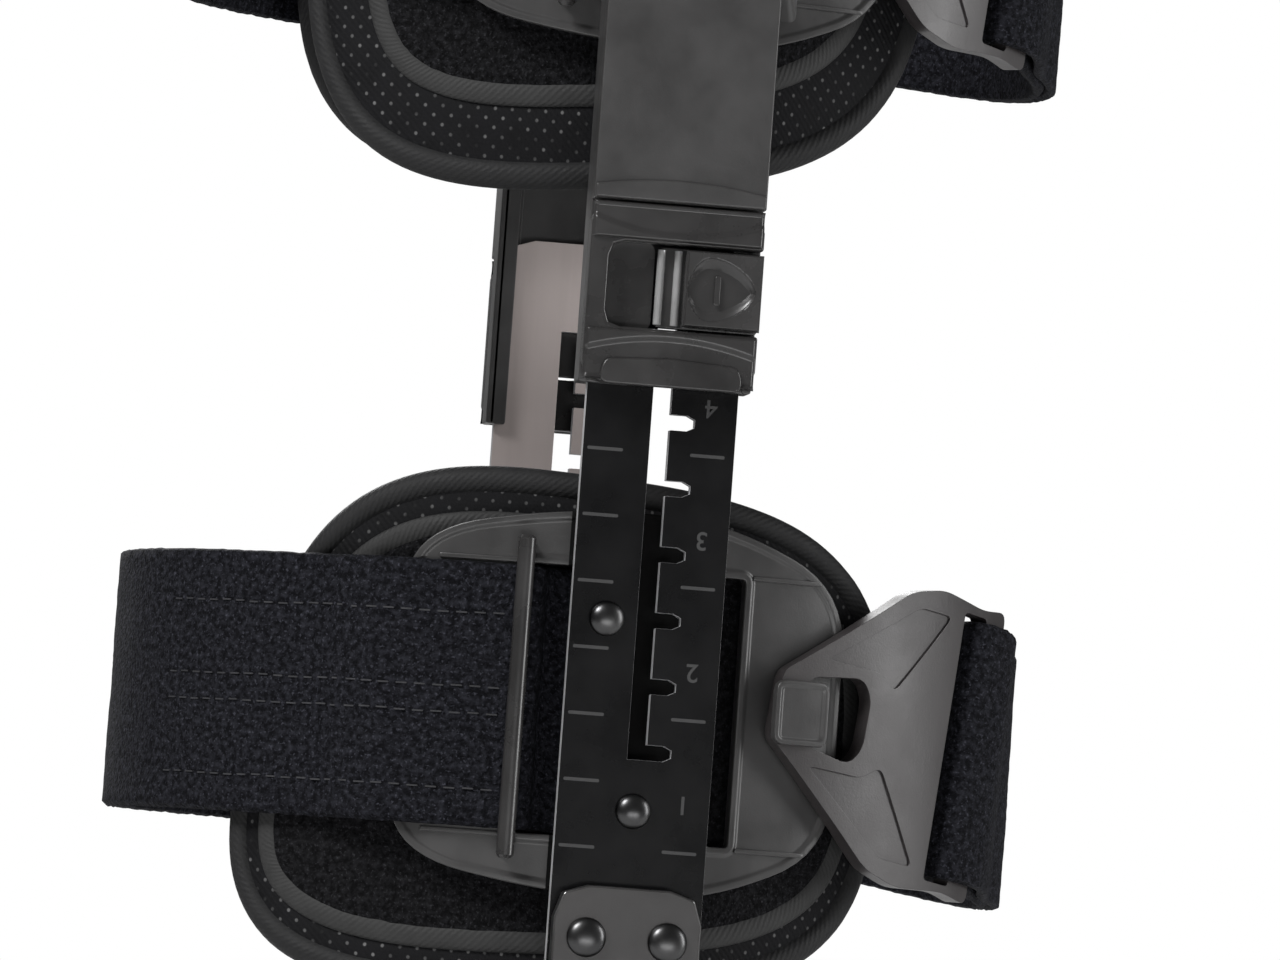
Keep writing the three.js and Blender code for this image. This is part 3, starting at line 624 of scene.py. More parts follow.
class DetailGroup(Enum):
    """Surface detail that several finishes share, as node groups."""

    GRAIN = "surface_grain"
    LOOPS = "loop_pile"
    KNIT = "fine_knit"

    @property
    def tree(self) -> bpy.types.NodeTree:
        """The group's tree, built the first time it is asked for."""
        return bpy.data.node_groups.get(self.value) or self._built()

    def _built(self) -> bpy.types.NodeTree:
        """Builds the group, with a place in, and a height and a tone from 0 to 1 out."""
        tree = bpy.data.node_groups.new(self.value, "ShaderNodeTree")
        tree.interface.new_socket("Place", in_out="INPUT", socket_type="NodeSocketVector")
        tree.interface.new_socket("Height", in_out="OUTPUT", socket_type="NodeSocketFloat")
        tree.interface.new_socket("Tone", in_out="OUTPUT", socket_type="NodeSocketFloat")
        work = NodeWork(tree)
        place = work.node("NodeGroupInput").outputs["Place"]
        makers = {"GRAIN": self._grain, "LOOPS": self._loops, "KNIT": self._knit}
        height, tone = makers[self.name](work, place)
        work.node("NodeGroupOutput", {"Height": height, "Tone": tone})
        return tree

    @staticmethod
    def _grain(work: NodeWork, place: Socket) -> tuple[Socket, Socket]:
        """Fine moulded grain, with broad faint mottling."""
        fine = work.noise(place, 2600, 3)
        pits = work.noise(place, 900, 2)
        height = work.math("ADD", fine, work.math("MULTIPLY", pits, 0.6))
        tone = work.mapped(work.noise(place, 70, 5), (0.3, 0.7), (0, 1))
        return height, tone

    @staticmethod
    def _loops(work: NodeWork, place: Socket) -> tuple[Socket, Socket]:
        """A pile of small loops, with pale specks of lint."""
        cells = work.node(
            "ShaderNodeTexVoronoi", {"Vector": place, "Scale": 1500, "Randomness": 1.0},
        ).outputs["Distance"]
        tufts = work.noise(place, 700, 4)
        height = work.math("ADD", work.math("MULTIPLY", cells, 0.8), work.math("MULTIPLY", tufts, 1.4))
        lint = work.mapped(work.noise(place, 1500, 2), (0.58, 0.7), (0, 1))
        shade = work.mapped(tufts, (0.42, 0.72), (0, 0.45))
        return height, work.math("ADD", shade, work.math("MULTIPLY", lint, 0.75))

    @staticmethod
    def _knit(work: NodeWork, place: Socket) -> tuple[Socket, Socket]:
        """Fine ribs of knitting, crossed by small stitches."""
        ribs = work.node("ShaderNodeTexWave", {
            "Vector": place, "Scale": 420, "Distortion": 1.2, "Detail": 2.0, "Detail Scale": 3.0,
        }, bands_direction="DIAGONAL").outputs["Fac"]
        stitches = work.node(
            "ShaderNodeTexVoronoi", {"Vector": place, "Scale": 1300, "Randomness": 0.5},
        ).outputs["Distance"]
        height = work.math("ADD", ribs, work.math("MULTIPLY", stitches, 0.8))
        tone = work.mapped(work.noise(place, 160, 4), (0.3, 0.7), (0, 1))
        return height, tone


@dataclass(frozen=True)
class Finish:
    """The finish of a surface.

    Attributes:
        name: The start of the material's name.
        dark: Its colour where its tone is lowest.
        light: Its colour where its tone is highest.
        rough: Its roughness where its tone is lowest and highest.
        detail: The surface detail that it has.
        depth: How deep the detail is, in millimetres.
        metallic: How metallic it is.
        specular: How strongly it shines, 0.5 being usual.
        stretch: How its detail is scaled along each axis.
        flat: Whether its detail follows the flat coordinates of the piece.
    """

    name: str
    dark: Colour
    light: Colour
    rough: Point
    detail: DetailGroup = DetailGroup.GRAIN
    depth: float = 0.03
    metallic: float = 0.0
    specular: float = 0.5
    stretch: tuple[float, float, float] = (1, 1, 1)
    flat: bool = False

    @property
    def material(self) -> bpy.types.Material:
        """The finish's material, built the first time it is asked for."""
        return bpy.data.materials.get(f"{self.name}_finish") or self._built()

    def patterned(self, work: NodeWork, colour: Socket, place: Socket) -> Socket:
        """The colour with the finish's pattern, which a plain finish doesn't have."""
        return colour

    def _built(self) -> bpy.types.Material:
        """Builds the material."""
        made = bpy.data.materials.new(f"{self.name}_finish")
        made.use_nodes = True
        made.node_tree.nodes.clear()
        work = NodeWork(made.node_tree)
        place = work.node("ShaderNodeTexCoord").outputs["UV" if self.flat else "Object"]
        detail = work.node("ShaderNodeGroup", node_tree=self.detail.tree)
        work.tree.links.new(work.stretched(place, self.stretch), detail.inputs["Place"])
        tone = detail.outputs["Tone"]
        colour = work.mixed(tone, (*self.dark, 1), (*self.light, 1))
        bump = work.node("ShaderNodeBump", {
            "Height": detail.outputs["Height"], "Distance": self.depth * MM, "Strength": 1.0,
        })
        shader = work.node("ShaderNodeBsdfPrincipled", {
            "Base Color": self.patterned(work, colour, place),
            "Roughness": work.mapped(tone, (0, 1), self.rough),
            "Metallic": self.metallic,
            "Specular IOR Level": self.specular,
            "Normal": bump.outputs["Normal"],
        })
        work.node("ShaderNodeOutputMaterial", {"Surface": shader.outputs["BSDF"]})
        return made


@dataclass(frozen=True)
class PerforatedFinish(Finish):
    """A finish with rows of small pale holes, each row set half a step from the last.

    Attributes:
        pitch: The distance between holes, in millimetres.
        hole: A hole's radius, in millimetres.
        hole_colour: What shows in the holes.
    """

    pitch: float = 3.7
    hole: float = 0.36
    hole_colour: Colour = (0.13, 0.13, 0.13)

    def patterned(self, work: NodeWork, colour: Socket, place: Socket) -> Socket:
        """The colour with the holes in it, some fainter than others."""
        split = work.node("ShaderNodeSeparateXYZ", {0: place})
        pitch = self.pitch * MM
        nearest = []
        for shift in (0, pitch / 2):
            shifted = [work.math("ADD", split.outputs[axis], shift) for axis in range(2)]
            offsets = [work.math("PINGPONG", value, pitch / 2) for value in shifted]
            nearest.append(work.math("ADD", *(work.math("MULTIPLY", offset, offset) for offset in offsets)))
        reach = work.math("SQRT", work.math("MINIMUM", *nearest))
        edge = self.hole * MM
        inside = work.mapped(reach, (edge * 0.7, edge * 1.2), (1, 0))
        strength = work.mapped(work.noise(place, 160, 2), (0.38, 0.68), (0.05, 1))
        return work.mixed(work.math("MULTIPLY", inside, strength), colour, (*self.hole_colour, 1))


BAR_BLACK = Finish(
    "bar_black", (0.002, 0.002, 0.0023), (0.004, 0.004, 0.0044), (0.24, 0.34), depth=0.004, specular=0.16,
)
BAR_EDGE = Finish(
    "bar_machined_edge", (0.4, 0.4, 0.41), (0.6, 0.6, 0.61), (0.25, 0.4),
    depth=0.004, metallic=0.4, stretch=(1, 1, 0.1),
)
BAR_BARE = Finish(
    "bar_bare_metal", (0.42, 0.365, 0.35), (0.52, 0.46, 0.445), (0.35, 0.5),
    depth=0.006, metallic=0.2, stretch=(1, 1, 0.05),
)
BAR_MARK = Finish("bar_mark", (0.018, 0.018, 0.019), (0.032, 0.032, 0.032), (0.5, 0.6), depth=0.002)
PLATE = Finish("plate_moulding", (0.028, 0.0275, 0.0275), (0.041, 0.04, 0.04), (0.28, 0.42), depth=0.018)
# Painted shade: a near-black matte finish for the plate's middle behind the bar, standing in for the bar's
# shadow there and in the slots beside it.
PLATE_PAINTED_SHADE = Finish(
    "plate_painted_shade", (0.002, 0.002, 0.002), (0.004, 0.004, 0.004), (0.7, 0.85), depth=0.02, specular=0.1,
)
SLEEVE = Finish(
    "sleeve_moulding", (0.017, 0.0165, 0.0165), (0.027, 0.026, 0.026), (0.22, 0.36), depth=0.009,
)
LATCH = Finish(
    "latch_moulding", (0.024, 0.0235, 0.0235), (0.034, 0.033, 0.033), (0.2, 0.32), depth=0.005,
)
BUCKLE = Finish("buckle_moulding", (0.023, 0.02, 0.0205), (0.031, 0.0275, 0.028), (0.36, 0.48), depth=0.026)
HINGE_EDGE = Finish(
    "hinge_edge", (0.22, 0.22, 0.22), (0.34, 0.34, 0.34), (0.25, 0.4), depth=0.004, metallic=1,
)
HINGE = Finish(
    "hinge_metal", (0.038, 0.037, 0.037), (0.054, 0.052, 0.052), (0.34, 0.46), depth=0.01, metallic=0.55,
)
RIVET = Finish(
    "rivet_metal", (0.045, 0.045, 0.047), (0.08, 0.08, 0.08), (0.24, 0.36), depth=0.006, metallic=1,
)
PIN = Finish("latch_pin", (0.4, 0.4, 0.4), (0.6, 0.6, 0.6), (0.18, 0.28), depth=0.003, metallic=0.6)
STRAP = Finish(
    "strap_loop", (0.0008, 0.0009, 0.002), (0.04, 0.041, 0.052), (0.85, 0.95), DetailGroup.LOOPS,
    depth=0.3, specular=0.12, flat=True,
)
PANEL = Finish(
    "pad_loop_panel", (0.001, 0.001, 0.0013), (0.026, 0.026, 0.029), (0.85, 0.95), DetailGroup.LOOPS,
    depth=0.3, specular=0.1, flat=True,
)
THREAD = Finish(
    "thread", (0.009, 0.009, 0.011), (0.021, 0.021, 0.025), (0.6, 0.75), DetailGroup.KNIT, depth=0.05,
)
PAD = PerforatedFinish(
    "pad_fabric", (0.004, 0.004, 0.0045), (0.008, 0.008, 0.009), (0.7, 0.85), DetailGroup.KNIT,
    depth=0.06, specular=0.12, flat=True,
)
BINDING = Finish(
    "pad_binding", (0.009, 0.009, 0.0095), (0.015, 0.015, 0.0155), (0.6, 0.75), DetailGroup.KNIT,
    depth=0.05, specular=0.25, flat=True,
)
PANEL_BINDING = Finish(
    "panel_binding", (0.017, 0.017, 0.017), (0.028, 0.028, 0.028), (0.6, 0.75), DetailGroup.KNIT,
    depth=0.05, specular=0.3, flat=True,
)


# Hard pieces


def dress_edges(work: Workpiece, quarter: Quarter, inner: int) -> None:
    """Numbers a flat piece's faces: 0 outward, 1 round its edges, and its own number inward.

    Args:
        work: The piece, in the brace's own frame.
        quarter: The quarter that it belongs to.
        inner: The finish number of its inner face.
    """
    work.bm.normal_update()
    for face in work.bm.faces:
        outward = face.normal.y * quarter.side.number
        face.material_index = 0 if outward > 0.9 else inner if outward < -0.9 else 1


@dataclass(frozen=True)
class Bar:
    """One slotted bar with its painted marks."""

    quarter: Quarter

    def build(self) -> None:
        """Builds the bar and its marks."""
        node = f"{self.quarter.name}_bar"
        work = copied(node)
        work.soften(0.35)
        dress_edges(work, self.quarter, 2)
        work.piece(
            f"{self.quarter.name}_slotted_bar", [BAR_BLACK, BAR_EDGE, BAR_BARE], "bar_black", [node],
        )
        marks = self._marks()
        marks.mirror(self.quarter)
        marks.piece(f"{node}_marks", [BAR_MARK], "bar_black", [], body_of(node))

    def _marks(self) -> Workpiece:
        """Makes the length marks and the upside-down numerals beside them."""
        marks = Workpiece()
        for k in range(MARK_COUNT):
            self._tick(marks, -13.8, -6.9, FIRST_MARK_Z + k * NOTCH_PITCH)
            if k % 2 == 0:
                self._tick(marks, 6.1, 12.8, FIRST_MARK_Z + k * NOTCH_PITCH)
        for k in range(0, MARK_COUNT, 2):
            marks.add(self._numeral(str(k // 2 + 1), FIRST_MARK_Z + 9.3 + k * NOTCH_PITCH))
        return marks

    @staticmethod
    def _tick(marks: Workpiece, low_x: float, high_x: float, z: float) -> None:
        """Adds one painted line across the bar."""
        outline = rectangle(low_x, high_x, z - MARK_HALF, z + MARK_HALF, 0.3)
        marks.prism([outline], BAR_OUTER_Y - 0.05, BAR_OUTER_Y + 0.03)

    def _numeral(self, text: str, z: float) -> Workpiece:
        """Makes one numeral, read with the bar's far end down."""
        curve = bpy.data.curves.new("numeral", "FONT")
        curve.body = text
        curve.size = NUMERAL_SIZE
        curve.extrude = 0.04
        curve.offset = 0.05
        curve.align_x = "CENTER"
        curve.align_y = "CENTER"
        holder = bpy.data.objects.new("numeral", curve)
        bpy.context.scene.collection.objects.link(holder)
        bpy.context.view_layer.update()
        mesh = bpy.data.meshes.new_from_object(holder)
        bpy.data.objects.remove(holder)
        bpy.data.curves.remove(curve)
        work = Workpiece()
        work.bm.from_mesh(mesh)
        bpy.data.meshes.remove(mesh)
        across = self.quarter.side.number * self.quarter.limb.number
        work.move(Matrix((
            (across, 0, 0, NUMERAL_X), (0, 0, 1, BAR_OUTER_Y), (0, -1, 0, z), (0, 0, 0, 1),
        )))
        return work


@dataclass(frozen=True)
class Hinge:
    """One quarter's hinge leaf and all of its rivets."""

    quarter: Quarter

    def build(self) -> None:
        """Builds the leaf and the rivets."""
        name = self.quarter.name
        leaf = copied(f"{name}_hinge_leaf")
        leaf.soften(0.5, 2, 50)
        dress_edges(leaf, self.quarter, 0)
        leaf.piece(f"{name}_hinge_plate", [HINGE, HINGE_EDGE], "hinge_metal", [f"{name}_hinge_leaf"])
        for place in ("high", "low"):
            self._rivet(f"{name}_{place}_rivet", RIVET_RADIUS)
        for place in ("rear", "front"):
            self._rivet(f"{name}_{place}_hinge_rivet", HINGE_RIVET_RADIUS)

    def _rivet(self, node: str, radius: float) -> None:
        """Builds a domed rivet in place of a node."""
        low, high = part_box(node)
        foot, top = sorted((abs(low.y) / MM, abs(high.y) / MM))
        base = top - RIVET_HEAD
        dome = [
            (radius * math.cos(turn), base + 0.25 + (RIVET_DOME - 0.25) * math.sin(turn))
            for turn in (i * math.pi / 16 for i in range(8))
        ]
        profile = [(0, foot), (2, foot), (2, base), (radius, base), *dome, (0, base + RIVET_DOME)]
        work = lathe(profile, 32)
        middle = (low + high) / 2 / MM
        work.move(Vector((middle.x, 0, abs(middle.z))))
        work.mirror(self.quarter)
        work.piece(f"{node}_dome", [RIVET], "rivet_metal", [node], angle=50)


@dataclass(frozen=True)
class HingeCap:
    """The round cover over one side's hinge."""

    side: Side

    def build(self) -> None:
        """Builds the cap, with a stepped rim and a shallow dished face."""
        profile = [
            (0, 75), (4, 75), (4, 83.3), (22.2, 83.3), (22.5, 83.6), (22.5, 84.6), (22.1, 84.9),
            (21.2, 84.9), (20.9, 85.2), (20.0, 87.0), (19.4, 87.35), (18.7, 87.4), (17.9, 87.1),
            (17.2, 86.95), (8, 86.9), (0, 86.9),
        ]
        work = lathe(profile, 96)
        work.mirror(Quarter(Limb.THIGH, self.side))
        name = f"{self.side.label}_hinge"
        work.piece(f"{name}_cover", [HINGE], "hinge_metal", [f"{name}_cap"], angle=30)


@dataclass(frozen=True)
class Sleeve:
    """The front cover of a sliding sleeve and its thumb latch."""

    quarter: Quarter

    def build(self) -> None:
        """Builds the cover and the latch."""
        name = self.quarter.name
        cover = copied(f"{name}_sleeve_cover")
        cover.soften(0.6)
        bands = (
            self._band(WINDOW_HIGH_Z + 0.3, COVER_TOP_Z, 3.2),
            self._band(COVER_LOW_Z + 0.4, WINDOW_LOW_Z - 0.3, -2.6),
        )
        for band in (*bands, self._lip(), self._pane()):
            band.mirror(self.quarter)
            cover.add(band)
        cover.piece(f"{name}_cover", [SLEEVE], "sleeve_moulding", [f"{name}_sleeve_cover"])
        self._latch()

    @staticmethod
    def _band(low: float, high: float, rise: float) -> Workpiece:
        """Makes a raised band with an arched hollow in it.

        Args:
            low: The height of its lower edge.
            high: The height of its upper edge.
            rise: How far the hollow's edge rises at the sleeve's sides, below 0 where it falls.

        Returns:
            The band.
        """
        half = SLEEVE_HALF - 0.15
        foot = high - 1.0 if rise < 0 else low + 0.8

        def place(across: float, up: float) -> Place:
            """Places one point of the band."""
            x, z = (2 * across - 1) * half, low + up * (high - low)
            edge = min(half - abs(x), z - low, high - z)
            arc = foot + rise * (x / half) ** 2
            inside = (z - arc) * math.copysign(1, rise)
            hollow = smooth(inside, 0, 1.1) * smooth(min(high - z, z - low), 0.1, 1.0)
            return x, COVER_FRONT_Y - 0.3 + 1.15 * smooth(edge, -0.1, 0.5) - 0.6 * hollow, z

        work = Workpiece()
        work.surface(place, 96, 44)
        return work

    @staticmethod
    def _lip() -> Workpiece:
        """The plate at the sleeve's mouth."""
        low = COVER_LOW_Z - 0.3
        outline = [
            (-12.8, low), (13.6, low), (14.2, low + 2), (13.2, low + 4.9), (0.4, low + 5.6),
            (-12.4, low + 4.9), (-13.4, low + 2),
        ]
        return block([rounded(outline, 1.4)], 83.8, COVER_FRONT_Y + 1.2, 0.5, 3)

    @staticmethod
    def _pane() -> Workpiece:
        """The sunk floor at the closed end of the window."""
        return block([rectangle(-13.2, -3.6, WINDOW_LOW_Z - GAP, WINDOW_HIGH_Z + GAP, 2.2)], 79.3, 80.1)

    def _latch(self) -> None:
        """Builds the latch: its tongue, two pins, and the thumb piece with its dish."""
        middle = (WINDOW_LOW_Z + WINDOW_HIGH_Z) / 2
        work = Workpiece()
        tongue = rectangle(-3.2, THUMB_HIGH_X, WINDOW_LOW_Z + 0.4, WINDOW_HIGH_Z - 0.4, 1.2)
        thumb = rectangle(THUMB_LOW_X, THUMB_HIGH_X, middle - THUMB_HALF, middle + THUMB_HALF, 1.4)
        work.prism([tongue], 80.35, 81.9)
        work.prism([thumb], 81.5, 84.4)
        work.soften(0.35)
        work.add(self._thumb_face(middle))
        work.add(block([rectangle(7.6, 8.8, middle - 2.9, middle + 2.9, 0.6)], 84, 85.3, 0.3, 3))
        for x in (-2.6, 0.7):
            pin = lathe([(0, -THUMB_HALF), (0.8, -7.2), (0.8, 7.2), (0, THUMB_HALF)], 16)
            pin.move(Matrix.Translation((x, 82.0, middle)) @ Matrix.Rotation(math.pi / 2, 4, "X"))
            work.add(pin, 1)
        lock = lathe([(0, 78.95), (1.3, 78.95), (1.3, 81)], 20)
        lock.move(Vector((5.1, 0, middle)))
        work.add(lock, 1)
        work.mirror(self.quarter)
        work.piece(
            f"{self.quarter.name}_thumb_latch", [LATCH, PIN], "latch_moulding",
            [f"{self.quarter.name}_latch"],
        )

    @staticmethod
    def _thumb_face(middle: float) -> Workpiece:
        """The flat face of the thumb piece, with an egg-shaped dish in it."""

        def place(along: float, up: float) -> Place:
            """Places one point of the face."""
            x = THUMB_LOW_X + (THUMB_HIGH_X - THUMB_LOW_X) * along
            off = 2 * THUMB_HALF * (up - 0.5)
            share = (x - 2.3) / 13.2
            left, power = (0.34, 2.0) if share < 0.34 else (0.66, 1.7)
            half = 6.2 * max(1 - (abs(share - 0.34) / left) ** power, 0) ** 0.6
            dish = 1.5 * smooth(half - abs(off), 0, 3.2) + 0.35 * smooth(half - abs(off), 0, 0.3)
            edge = min(x - THUMB_LOW_X, THUMB_HIGH_X - x, THUMB_HALF - abs(off))
            return x, 84.3 + 1.5 * smooth(edge, -0.1, 0.45) - dish, middle + off

        work = Workpiece()
        work.surface(place, 90, 84)
        return work


@dataclass(frozen=True)
class CuffPlate:
    """One plate against the leg, with its rod and hook, and its spine where it has one.

    Attributes:
        quarter: The quarter that it belongs to.
        level: The level that it is on.
    """

    quarter: Quarter
    level: Level

    def build(self) -> None:
        """Builds the plate in place of its node."""
        work = self._plate()
        for part in [*self._rod_posts(), *self._ridges()]:
            work.add(part)
        if self.quarter.side is Side.OUTER:
            work.add(self._hook())
        work.move(Vector((0, 0, self.level.number)))
        far = self.level is Level.FAR
        for part in self._spine() if far else self._bosses():
            work.add(part)
        work.add(self._rod(), 2)
        work.mirror(self.quarter)
        kind, node = ("cuff", "cuff_shell") if far else ("wing", "wing_plate")
        # Finish 1 is the near-black painted shade on the plate's middle behind the bar.
        work.piece(
            f"{self.quarter.name}_{kind}", [PLATE, PLATE_PAINTED_SHADE, SLEEVE], "plate_moulding",
            [f"{self.quarter.name}_{node}"],
        )

    def _plate(self) -> Workpiece:
        """The plate with a raised border, bent round the leg, with painted shade on its middle behind the
        bar.
        """
        shares = [(-47, 0.42), (-43, 0.86), (-14, 1), (14, 1), (41, 0.7)]
        corners = both_ways([(x, share * PLATE_HALF_HEIGHT) for x, share in shares])
        slots = [rectangle(*ends, -SLOT_HALF, SLOT_HALF, 1) for ends in ((-21.8, -13.2), (15.4, 20.0))]
        work = Workpiece()
        face = work.prism([rounded(corners, PLATE_CORNER, 8), *slots], -PLATE_THICK, 0)
        work.border(face, 1.3, 0.5, -0.4)
        work.soften(0.4, 3, 30)
        work.bend(self.quarter.ring, PLATE_CUT, by_x=True)
        # Painted shade: faces within BAR_HALF of the bars' line, behind the bar, take finish 1, the
        # near-black stand-in for the bar's shadow.
        for part in work.bm.faces:
            part.material_index = int(abs(part.calc_center_median().x) < BAR_HALF)
        return work

    def _ridges(self) -> list[Workpiece]:
        """The low ridges that lead the strap to its slots."""
        ridges = []
        for end in (-1, 1):
            middle = end * (SLOT_HALF + 0.4)
            for ends in ((-39.5, -23.5), (21.4, 35.5)):
                outline = rectangle(*ends, middle - 0.45, middle + 0.45, 0.3)
                ridge = block([outline], -1, 0.15, 0.2)
                ridge.bend(self.quarter.ring, PLATE_CUT, by_x=True)
                ridges.append(ridge)
        return ridges

    def _laid(self, work: Workpiece, run: float, out: float = 0) -> Workpiece:
        """Lays flat work made about X = 0 against the ring at one run."""
        ring = self.quarter.ring
        foot = Vector((*ring.at(run, out), 0))
        work.move(Matrix.Translation(foot) @ Matrix.Rotation(ring.turn_at(run), 4, "Z"))
        return work

    def _rod(self) -> Workpiece:
        """The rod over the rear slot."""
        profile = [
            (0, -ROD_HALF), (1.1, -ROD_HALF), (ROD_RADIUS, 0.6 - ROD_HALF), (ROD_RADIUS, ROD_HALF - 0.6),
            (1.1, ROD_HALF), (0, ROD_HALF),
        ]
        work = lathe(profile, 24)
        work.move(Matrix.Rotation(math.pi / 2, 4, "X"))
        self._laid(work, ROD_RUN, ROD_OUT)
        work.move(Vector((0, 0, self.level.number)))
        return work

    def _rod_posts(self) -> list[Workpiece]:
        """The post at each end of the rod."""
        posts = []
        for end in (-1, 1):
            low, high = sorted((end * (SLOT_HALF + 0.4), end * (ROD_HALF - 0.8)))
            post = block([rectangle(-1.5, 1.5, low, high, 0.8)], -1.2, ROD_OUT + 0.4, 0.6, 3)
            posts.append(self._laid(post, ROD_RUN))
        return posts

    def _hook(self) -> Workpiece:
        """The hook that holds the buckle's tip."""
        middle = BUCKLE_FRAME[self.quarter.limb].middle_at(12.6)
        low, high = middle - HOOK_HALF, middle + HOOK_HALF
        work = Workpiece()
        tab = rectangle(HOOK_LOW_RUN, HOOK_HIGH_RUN, low, high, 2.2)
        face = work.prism([tab], BUCKLE_TOP_OUT + GAP, 6.8)
        work.border(face, 0.9, 0.4, -0.35)
        work.prism([rectangle(HOOK_HIGH_RUN - 2.8, HOOK_HIGH_RUN, low, high, 0.6)], -1.2, 5.6)
        work.soften(0.5, 3)
        work.bend(self.quarter.ring, PLATE_CUT)
        return work

    def _bosses(self) -> list[Workpiece]:
        """The round pads between the plate and the bar, at the rivets."""
        bosses = []
        profile = [(0, 70.5), (4.9, 70.5), (4.5, 75.5), (4.3, 75.7), (0, 75.7)]
        for x, z in BOSS_PLACES:
            boss = lathe(profile, 32)
            boss.move(Vector((x, 0, z)))
            bosses.append(boss)
        return bosses

    def _spine(self) -> list[Workpiece]:
        """The spine, the flared root that joins it to the plate, and the sleeve's channel."""
        half, foot, top = SLEEVE_HALF, COVER_TOP_Z + GAP, SPINE_TOP_Z
        face = [
            (-half, foot), (half, foot), (half, top - 4), (half - 4, top), (4 - half, top),
            (-half, top - 4),
        ]
        spine = block([rounded(face, 0.5)], CHANNEL_FRONT_Y, SPINE_FRONT_Y, 0.9, 3)
        stop = block([rectangle(-half, half, CHANNEL_TOP_Z, top - 1, 1)], 75, CHANNEL_FRONT_Y + 0.5)
        behind = rectangle(-CHANNEL_HALF, CHANNEL_HALF, ROOT_LOW_Z, top, 1)
        back = block([behind], ROOT_BACK_Y, CHANNEL_BACK_Y, 0.4)
        return [spine, stop, back, self._gusset(-1), self._gusset(1), self._arch(), *self._channel()]

    @staticmethod
    def _gusset(side: int) -> Workpiece:
        """The flare beside the channel, from the plate up to the spine's face."""
        wide = SLEEVE_HALF + 5
        low = ROOT_LOW_Z + 5
        work = Workpiece()
        outline = rectangle(*sorted((side * CHANNEL_HALF, side * wide)), low, SPINE_TOP_Z, 1.5)
        face = work.prism([outline], ROOT_BACK_Y, SPINE_FRONT_Y - 0.6)
        narrowed = (SLEEVE_HALF - 0.3 - CHANNEL_HALF) / (wide - CHANNEL_HALF)
        lowered = (SPINE_TOP_Z - low - 12) / (SPINE_TOP_Z - low)
        for vert in {vert for part in face for vert in part.verts}:
            vert.co.x = side * (CHANNEL_HALF + (abs(vert.co.x) - CHANNEL_HALF) * narrowed)
            vert.co.z = low + 11 + (vert.co.z - low) * lowered
        work.soften(0.7, 4, 20)
        return work

    @staticmethod
    def _arch() -> Workpiece:
        """The raised arched band at the foot of the spine."""
        low = COVER_TOP_Z + 0.5
        across = (16.5, 12, 8, 4, 0, -4, -8, -12, -16.5)
        arc = [(x, low + 4.2 - 1.6 * (x / SLEEVE_HALF) ** 2) for x in across]
        return block([[(-16.5, low), (16.5, low), *arc]], 84, SPINE_FRONT_Y + 0.9, 0.4, 3)

    @staticmethod
    def _channel() -> list[Workpiece]:
        """The walls and lips of the channel that slides on the bar."""
        parts = []
        for side in (-1, 1):
            for low_x, high_x, low_y, high_y in (
                (CHANNEL_HALF, SLEEVE_HALF, CHANNEL_LOW_Y, CHANNEL_FRONT_Y + 0.4),
                (12.6, 16.0, CHANNEL_LOW_Y, 75.7),
                (11.4, 16.0, BAR_OUTER_Y + GAP, CHANNEL_FRONT_Y),
            ):
                ends = sorted((side * low_x, side * high_x))
                outline = rectangle(*ends, COVER_LOW_Z, CHANNEL_TOP_Z + 1, 0.6)
                parts.append(block([outline], low_y, high_y, 0.3))
        return parts


@dataclass(frozen=True)
class BuckleFrame:
    """Where one limb's buckles lie, from the dip of their straps across the front.

    Attributes:
        ring: The ring that they lie on.
        dip: How far the strap's middle dips.
        start: The run where the dip starts.
    """

    ring: LegRing
    dip: float = 8.0
    start: float = 30.0

    def dip_at(self, run: float) -> Point:
        """The strap's height and its slope at one run."""
        span = self.ring.length - 2 * self.ring.rear_run - 2 * self.start
        along = run % self.ring.length - self.start
        if not 0 <= along <= span:
            return 0.0, 0.0
        turn = math.tau * along / span
        return -self.dip * (1 - math.cos(turn)) / 2, -self.dip * math.pi * math.sin(turn) / span

    def middle_at(self, along: float) -> float:
        """The height of the buckle's middle line at a distance from its tip."""
        height, slope = self.dip_at(BUCKLE_TIP_RUN + BUCKLE_PASS)
        return height + (BUCKLE_PASS - along) * math.sin(-slope)

    @property
    def slope(self) -> float:
        """How steeply the buckle leans."""
        return self.dip_at(BUCKLE_TIP_RUN + BUCKLE_PASS)[1]


BUCKLE_FRAME = {limb: BuckleFrame(ring) for limb, ring in RINGS.items()}


